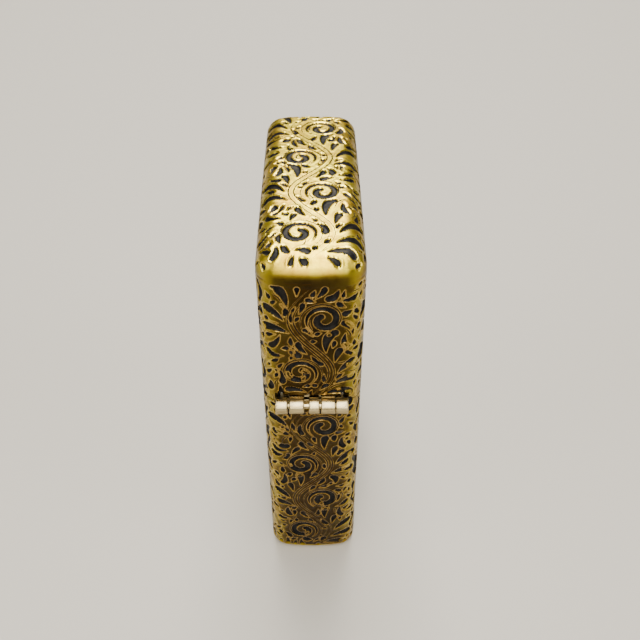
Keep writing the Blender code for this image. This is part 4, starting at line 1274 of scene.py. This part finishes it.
def makeChimney(finish):
    c = chimney
    middle = c["left"] + c["half"]
    turn = np.linspace(math.pi / 2, 3 * math.pi / 2, 49)

    def side(radius):
        return [(c["right"], radius), *arcPoints(middle, 0, radius, turn), (c["right"], -radius)]

    plan = side(c["half"]) + side(c["half"] - c["wall"])[::-1]
    made = solid("wind_guard", block(plan, c["low"], c["top"]))
    r = c["sweep"]
    corner = (c["tallRight"] + r, c["earTop"] + r)
    sweep = [(c["right"] + 2, c["top"] + 1), (corner[0] - r, c["top"] + 1)]
    sweep += arcPoints(*corner, r, np.linspace(math.pi, 1.5 * math.pi, 21))
    sweep.append((c["right"] + 2, c["earTop"]))
    e = c["earCorner"]
    ear = (c["right"] - e, c["earTop"] - e)
    rounding = [(c["right"] + 1, c["earTop"] + 1), (ear[0], c["earTop"] + 1)]
    rounding += arcPoints(*ear, e, np.linspace(math.pi / 2, 0, 15))
    rounding.append((c["right"] + 1, ear[1]))
    tools = [("DIFFERENCE", plate(line, -6, 6)) for line in (sweep, rounding)]
    tools.append(drill(wheel["bore"], (wheel["x"], 0, wheel["z"]), "Y", -6, 6, 48))
    grow(combine(made, tools), *ventTree(finish))
    finishPiece(bevelled(made, 0.07, 2, 45), finish, "case", ("chimney",))


def toothTree(finish):
    # sharp ridges cut slantwise round the wheel
    sizes = {
        "Teeth": ("NodeSocketInt", wheel["teeth"]),
        "Wheel Radius": ("NodeSocketFloat", wheel["radius"] * mm),
        "Tooth Height": ("NodeSocketFloat", wheel["tooth"] * mm),
        "Wheel Width": ("NodeSocketFloat", 2 * wheel["half"] * mm),
    }
    tree, given = newTree("teeth", sizes)

    given["index"] = addNode(tree, "GeometryNodeInputIndex").outputs[0]
    addNodes(tree, given, (
        ("turned", "MULTIPLY", "index", 2 * math.pi),
        ("angle", "DIVIDE", "turned", "Teeth"),
        ("sunk", "MULTIPLY", "Tooth Height", 1.15),
        ("root", "SUBTRACT", "Wheel Radius", "sunk"),
        ("cosine", "COSINE", "angle"),
        ("sine", "SINE", "angle"),
        ("outX", "MULTIPLY", "cosine", "root"),
        ("outZ", "MULTIPLY", "sine", "root"),
        ("x", "ADD", "outX", wheel["x"] * mm),
        ("z", "ADD", "outZ", wheel["z"] * mm),
        ("spot", "point", "x", 0.0, "z"),
        ("ridgeRadius", "MULTIPLY", "Tooth Height", 1.1),
        ("back", "MULTIPLY", "angle", -1.0),
        ("facing", "point", 0.0, "back"),
    ))
    spots = addNode(tree, "GeometryNodePoints", {"Count": given["Teeth"], "Position": given["spot"]})
    ridge = addNode(tree, "GeometryNodeMeshCylinder", {
        "Vertices": 3, "Radius": given["ridgeRadius"], "Depth": given["Wheel Width"],
    })
    lying = addNode(tree, "GeometryNodeTransform", {
        "Geometry": ridge.outputs["Mesh"], "Rotation": (math.pi / 2, 0, 0),
    })
    slanted = addNode(tree, "GeometryNodeTransform", {
        "Geometry": lying.outputs[0], "Rotation": (0, 0, math.radians(wheel["slant"])),
        "Scale": (1, 0.985, 1),
    })
    placed = addNode(tree, "GeometryNodeInstanceOnPoints", {
        "Points": spots.outputs[0], "Instance": slanted.outputs[0], "Rotation": given["facing"],
    })
    joined = addNode(tree, "GeometryNodeJoinGeometry", {0: given["Geometry"]})
    tree.links.new(placed.outputs[0], joined.inputs[0])
    closeTree(tree, joined.outputs[0], finish)
    return tree, sizes


def makeWheel(finishes):
    w = wheel
    body, e = w["radius"] - w["tooth"], 0.2
    profile = [
        (w["bore"], -w["hubHalf"]), (w["hub"] - e, -w["hubHalf"]), (w["hub"], e - w["hubHalf"]),
        (w["hub"], -w["half"]), (body - e, -w["half"]), (body, e - w["half"]),
    ]
    profile += [(r, -y) for r, y in profile[::-1]]
    made = solid("toothed_wheel", lathe(profile, (w["x"], 0, w["z"]), "Y", 72, closed=True))
    grow(made, *toothTree(finishes["tool"]))
    finishPiece(made, finishes["tool"], "striker_wheel", ("striker_wheel",), 30)
    makeRivet("axle_rivet", "wheel_rivet", "case", finishes["brass"], w["x"], w["z"],
              w["rivet"], w["rivetHead"], chimney["half"] + 0.05, 5.2)


# flint: tube, flint, plunger, spring and screw, one above the other under the wheel
flint = {
    "x": 9.9, "tube": 1.9, "tubeBore": 1.35, "tubeLow": 3.3, "tubeTop": 40.3,
    "radius": 1.2, "top": 41.2, "length": 5.6,
    "plunger": 3.6, "springRadius": 0.92, "springWire": 0.16, "springTurns": 19, "shankTop": 8.0,
    "head": 2.8, "headLow": 1.55, "headHigh": 3.1, "crest": 1.28, "root": 1.08, "pitch": 0.6, "nose": 0.5,
}


def springTree(finish, low, high):
    sizes = {
        "Turns": ("NodeSocketFloat", float(flint["springTurns"])),
        "Coil Radius": ("NodeSocketFloat", flint["springRadius"] * mm),
        "Wire Radius": ("NodeSocketFloat", flint["springWire"] * mm),
        "Free Height": ("NodeSocketFloat", (high - low) * mm),
    }
    tree, given = newTree("coil", sizes)
    coil = addNode(tree, "GeometryNodeCurveSpiral", {
        "Resolution": 20, "Rotations": given["Turns"], "Start Radius": given["Coil Radius"],
        "End Radius": given["Coil Radius"], "Height": given["Free Height"],
    })
    moved = addNode(tree, "GeometryNodeTransform", {
        "Geometry": coil.outputs[0], "Translation": (flint["x"] * mm, 0, low * mm),
    })
    sweepTree(tree, moved.outputs[0], given["Wire Radius"], 8, finish)
    return tree, sizes


def makeFlintParts(finishes):
    f = flint
    place = (f["x"], 0, 0)
    bore, tubeLow, r, top = f["tubeBore"], f["tubeLow"], f["tube"], f["tubeTop"]
    tube = [
        (bore, tubeLow), (r, tubeLow), (r, top - 0.25), (r - 0.08, top - 0.08), (r - 0.25, top),
        (bore + 0.1, top), (bore, top - 0.1),
    ]
    barrel = solid("flint_barrel", lathe(tube, place, "Z", 56, closed=True))
    finishPiece(barrel, finishes["brass"], "case", ("flint_tube",))
    low, r, top = f["top"] - f["length"], f["radius"], f["top"]
    rod = [(r - 0.15, low), (r, low + 0.15), (r, top - 0.9), (r - 0.04, top - 0.3), (r - 0.3, top)]
    made = solid("flint_rod", lathe(rod, place, "Z", 48))
    # the wheel has worn a hollow in its end
    combine(made, [drill(wheel["radius"] + 0.14, (wheel["x"], 0, wheel["z"]), "Y", -3, 3, 72)])
    finishPiece(made, finishes["flint"], "flint", ("flint",))
    top, nose = low - 0.05, f["nose"]
    foot, seat = top - f["plunger"], top - 1.4
    plunger = [
        (nose - 0.1, foot), (nose, foot + 0.1), (nose, seat), (1.05, seat), (1.15, seat + 0.1),
        (1.15, top - 0.35), (1.05, top - 0.12), (0.8, top),
    ]
    pusher = solid("flint_pusher", lathe(plunger, place, "Z", 40))
    finishPiece(pusher, finishes["brass"], "flint", ("flint_plunger",))
    springLow, springHigh = f["shankTop"] + 0.25, seat - 0.25
    coil = solid("coil_spring", brick((0, 0, 0), (1, 1, 1)))
    grow(coil, *springTree(finishes["spring"], springLow, springHigh))
    finishPiece(coil, finishes["spring"], "case", ("flint_spring",), 60)
    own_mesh(coil)
    makeFlintScrew(finishes["brass"])


def makeFlintScrew(finish):
    f = flint
    head, low, high = f["head"], f["headLow"], f["headHigh"]
    root, crest, pitch, nose, top = f["root"], f["crest"] - 0.03, f["pitch"], f["nose"], f["shankTop"]
    profile = [
        (head - 0.35, low), (head - 0.1, low + 0.1), (head, low + 0.35), (head, high - 0.1),
        (head - 0.1, high), (root, high),
    ]
    z = high + 0.4
    while z + pitch < top:
        profile += [(root, z), (crest, z + pitch * 0.42), (crest, z + pitch * 0.58)]
        z += pitch
    profile += [(root, z), (root, top), (nose, top), (nose, top + 1.85), (nose - 0.15, top + 2)]
    made = solid("slotted_screw", lathe(profile, (f["x"], 0, 0), "Z", 56))
    tools = [("DIFFERENCE", brick((f["x"] - 4, -0.4, low - 1), (f["x"] + 4, 0.4, low + 0.75)))]
    # the rim of the head is nicked for the fingers
    for k in range(28):
        a = 2 * math.pi * k / 28
        place = (f["x"] + (head + 0.06) * math.cos(a), (head + 0.06) * math.sin(a), 0)
        tools.append(("DIFFERENCE", lathe([(0.17, low - 0.2), (0.17, high + 0.05)], place, "Z", 8)))
    points, faces, start = [], [], 0
    for _, (more, rings) in tools[1:]:
        faces += [tuple(start + i for i in face) for face in rings]
        points += more
        start += len(more)
    combine(made, [tools[0], ("DIFFERENCE", (points, faces))])
    finishPiece(made, finish, "case", ("flint_screw",))


# wick, packing and felt, which fill the unit
wick = {
    "radius": 1.3, "top": 48.0, "runs": (29.5, 22.9, 16.3, 9.7), "left": -11.2, "right": 3.3, "bend": 3.0,
    "strands": 12, "strandRadius": 0.4, "pitch": 7.0,
}
packing = {
    "wads": (
        ((1.7, 7.8), (31.2, 37.0)), ((-12.6, 7.8), (24.5, 27.9)), ((-15.9, 4.7), (17.9, 21.3)),
        ((-12.6, 7.8), (11.3, 14.7)), ((-15.9, 7.0), (5.3, 8.1)), ((12.3, 17.2), (5.6, 36.4)),
    ),   # X and Z ranges
    "half": 4.75, "rounding": 1.3, "lump": 0.45, "lumpSize": 1.7, "seed": 5,
}
felt = {"low": 2.0, "high": 5.0, "gap": 0.1, "screwHole": 3.05, "liftHole": 1.2, "liftX": -8.0}


def wickRoute():
    # down the chimney, a bend to the left, then to and fro with a half circle between the runs
    w = wick
    points = [(0, z) for z in np.linspace(w["top"], w["runs"][0] + w["bend"], 30)]
    points += arcPoints(-w["bend"], w["runs"][0] + w["bend"], w["bend"], np.linspace(0, -math.pi / 2, 12)[1:])
    start, half = -w["bend"], (w["runs"][0] - w["runs"][1]) / 2
    for run, z in enumerate(w["runs"]):
        leftwards = run % 2 == 0
        end = w["left"] if leftwards else w["right"]
        points += [(x, z) for x in np.linspace(start, end, 26)[1:]]
        if run < len(w["runs"]) - 1:
            for a in np.linspace(0, math.pi, 18)[1:]:
                out = -half * math.sin(a) if leftwards else half * math.sin(a)
                points.append((end + out, z - half + half * math.cos(a)))
        start = end
    return points


def braidTree(finish):
    # strands that wind round the route, half of them one way and half the other
    sizes = {
        "Strands": ("NodeSocketInt", wick["strands"]),
        "Strand Radius": ("NodeSocketFloat", wick["strandRadius"] * mm),
        "Wick Radius": ("NodeSocketFloat", (wick["radius"] - wick["strandRadius"] - 0.05) * mm),
        "Pitch": ("NodeSocketFloat", wick["pitch"] * mm),
    }
    tree, given = newTree("braid", sizes)

    line = addNode(tree, "GeometryNodeMeshToCurve", {0: given["Geometry"]})
    even = addNode(tree, "GeometryNodeResampleCurve", {
        "Curve": line.outputs[0], "Length": 0.45 * mm,
    }, mode="LENGTH")
    copies = addNode(tree, "GeometryNodeDuplicateElements", {
        "Geometry": even.outputs[0], "Amount": given["Strands"],
    }, domain="SPLINE")
    given["number"] = copies.outputs["Duplicate Index"]
    given["along"] = addNode(tree, "GeometryNodeSplineParameter").outputs["Length"]
    given["tangent"] = addNode(tree, "GeometryNodeInputTangent").outputs[0]
    addNodes(tree, given, (
        ("odd", "MODULO", "number", 2.0),
        ("twice", "MULTIPLY", "odd", 2.0),
        ("hand", "SUBTRACT", "twice", 1.0),
        ("turns", "DIVIDE", "along", "Pitch"),
        ("wound", "MULTIPLY", "turns", "hand"),
        ("start", "DIVIDE", "number", "Strands"),
        ("turned", "ADD", "wound", "start"),
        ("angle", "MULTIPLY", "turned", 2 * math.pi),
        # over and under: each strand swells out and dips in three times a turn
        ("thrice", "MULTIPLY", "angle", 3.0),
        ("wave", "COSINE", "thrice"),
        ("handWave", "MULTIPLY", "wave", "hand"),
        ("swell", "MULTIPLY", "handWave", 0.14),
        ("weave", "ADD", 0.9, "swell"),
        ("reach", "MULTIPLY", "Wick Radius", "weave"),
        ("sine", "SINE", "angle"),
        ("cosine", "COSINE", "angle"),
        ("outReach", "MULTIPLY", "sine", "reach"),
        ("sideReach", "MULTIPLY", "cosine", "reach"),
        ("outward", "cross", "tangent", (0, 1, 0)),
        ("first", "scale", "outward", "outReach"),
        ("second", "scale", (0, 1, 0), "sideReach"),
        ("shift", "sum", "first", "second"),
    ))
    moved = addNode(tree, "GeometryNodeSetPosition", {
        "Geometry": copies.outputs[0], "Offset": given["shift"],
    })
    sweepTree(tree, moved.outputs[0], given["Strand Radius"], 7, finish)
    return tree, sizes


def makeWick(finish):
    route = wickRoute()
    mesh = bpy.data.meshes.new("braided_wick")
    mesh.from_pydata([(x * mm, 0, z * mm) for x, z in route], [(i, i + 1) for i in range(len(route) - 1)], [])
    made = bpy.data.objects.new("braided_wick", mesh)
    bpy.context.scene.collection.objects.link(made)
    grow(made, *braidTree(finish))
    finishPiece(made, finish, "case", ("wick",), 70)


def roughen(made, size, depth, seed):
    # pushes the surface in, more where a smooth noise is high, as packed fibre is never flat
    count = len(made.data.vertices)
    flat, normals = np.empty(count * 3), np.empty(count * 3)
    made.data.vertices.foreach_get("co", flat)
    made.data.vertices.foreach_get("normal", normals)
    points, normals = flat.reshape(-1, 3), normals.reshape(-1, 3)
    rng = np.random.default_rng(seed)
    total = np.zeros(count)
    for octave in range(3):
        waves = rng.normal(size=(9, 3))
        waves *= 2 * math.pi * 2 ** octave / (size * mm) / np.linalg.norm(waves, axis=1)[:, None]
        total += np.sin(points @ waves.T + rng.uniform(0, 6.28, 9)).sum(1) / 9 / 1.6 ** octave
    share = np.clip(0.5 + total * 0.9, 0, 1)
    made.data.vertices.foreach_set("co", (points - normals * (share * depth * mm)[:, None]).ravel())
    made.data.update()


def makePacking(finish):
    p = packing
    for number, ((left, right), (low, high)) in enumerate(p["wads"], 1):
        made = solid(f"cotton_wad_{number}", brick((left, -p["half"], low), (right, p["half"], high)))
        remeshed(bevelled(made, p["rounding"], 4, 30), 0.3)
        roughen(made, p["lumpSize"], p["lump"], p["seed"] + number)
        finishPiece(made, finish, "case", (f"packing_wad_{number}",), 0)


def makeFelt(finish):
    f = felt
    plan = measureOutline(unit["length"], unit["thickness"], unit["corner"], unit["end"])
    x, y, _, _ = outlineAt(np.linspace(0, plan["around"], 160, endpoint=False), unit["wall"] + f["gap"], plan)
    made = solid("felt_cover", block(list(zip(x + unit["centre"], y)), f["low"], f["high"]))
    tools = [
        drill(f["screwHole"], (flint["x"], 0, 0), "Z", 0, 8, 48),
        drill(f["liftHole"], (f["liftX"], 0, 0), "Z", 0, 8, 32),
    ]
    remeshed(bevelled(combine(made, tools), 0.35, 3, 40), 0.22)
    roughen(made, 1.0, 0.12, 3)
    finishPiece(made, finish, "case", ("felt_pad",), 0)


# stage: where the camera stands and what lights the object
stage = {
    "eye": (-85.15, -0.40, 106.73),   # mm
    "pitch": 41.26, "yaw": -0.54, "roll": 0.10,   # degrees: down, to the side, and about the view
    "lens": 42.18,
    "floor": "#a19b91", "world": (0.68, 0.66, 0.62, 1), "worldStrength": 0.2,
    # each soft light: place in metres, height that it is aimed at, size, watts and colour
    "lights": {
        "back": ((0.62, 0.0, 1.1), 0.05, (0.6, 1.0), 31.0, (1.0, 0.985, 0.93)),
        "front": ((-0.49, 0.0, 1.09), 0.05, (0.45, 1.45), 26.0, (1.0, 0.985, 0.93)),
        "behind camera": ((-1.2, 0.0, 0.5), 0.05, (0.9, 0.55), 10.0, (1.0, 0.985, 0.93)),
        "left": ((-0.5, 1.4, 0.8), 0.03, (0.8, 0.8), 9.0, (1, 1, 1)),
        "right": ((-0.5, -1.4, 0.8), 0.03, (0.8, 0.8), 9.0, (1, 1, 1)),
    },
}


def makeStage():
    camera = bpy.data.objects.new("camera", bpy.data.cameras.new("camera"))
    camera.data.lens = stage["lens"]
    camera.data.clip_start, camera.data.clip_end = 0.005, 60
    pitch, yaw, roll = (math.radians(stage[k]) for k in ("pitch", "yaw", "roll"))
    ahead = Vector((math.cos(pitch) * math.cos(yaw), math.cos(pitch) * math.sin(yaw), -math.sin(pitch)))
    right = ahead.cross(Vector((0, 0, 1))).normalized()
    up = right.cross(ahead)
    across = right * math.cos(roll) + up * math.sin(roll)
    upright = up * math.cos(roll) - right * math.sin(roll)
    turned = Matrix((across, upright, -ahead))
    camera.matrix_world = Matrix.Translation(Vector(stage["eye"]) * mm) @ turned.transposed().to_4x4()
    bpy.context.scene.collection.objects.link(camera)
    bpy.context.scene.camera = camera

    bpy.ops.mesh.primitive_plane_add(size=40, location=(0, 0, 0))
    floor = bpy.context.object
    floor.name = "floor"
    material, _, shader = newMaterial("pale_floor")
    shader.inputs["Base Color"].default_value = hexColour(stage["floor"])
    shader.inputs["Roughness"].default_value = 0.6
    floor.data.materials.append(material)

    world = bpy.context.scene.world or bpy.data.worlds.new("studio")
    bpy.context.scene.world = world
    world.use_nodes = True
    background = world.node_tree.nodes["Background"]
    background.inputs["Color"].default_value = stage["world"]
    background.inputs["Strength"].default_value = stage["worldStrength"]

    for name, (place, aim, size, power, colour) in stage["lights"].items():
        light = bpy.data.lights.new(name, "AREA")
        light.shape = "RECTANGLE"
        light.size, light.size_y = size
        light.energy, light.color = power, colour
        made = bpy.data.objects.new(name, light)
        made.location = place
        made.rotation_euler = (Vector((0, 0, aim)) - Vector(place)).to_track_quat("-Z", "Y").to_euler()
        bpy.context.scene.collection.objects.link(made)


print("stage")
makeStage()
print("ornament")
sidesSheet, topSheet = drawSides(), drawTop()
brass = carvedBrass()
finishes = makeFinishes()
print("case shells")
makeLowerCase(sidesSheet, brass)
makeLid(sidesSheet, topSheet, brass)
print("hinge")
makeHinge(finishes)
print("unit and cam")
makeUnitShell(finishes["steel"])
makeCam(finishes)
print("chimney and wheel")
makeChimney(finishes["steel"])
makeWheel(finishes)
print("flint parts")
makeFlintParts(finishes)
print("wick and packing")
makeWick(finishes["wick"])
makePacking(finishes["cotton"])
makeFelt(finishes["felt"])

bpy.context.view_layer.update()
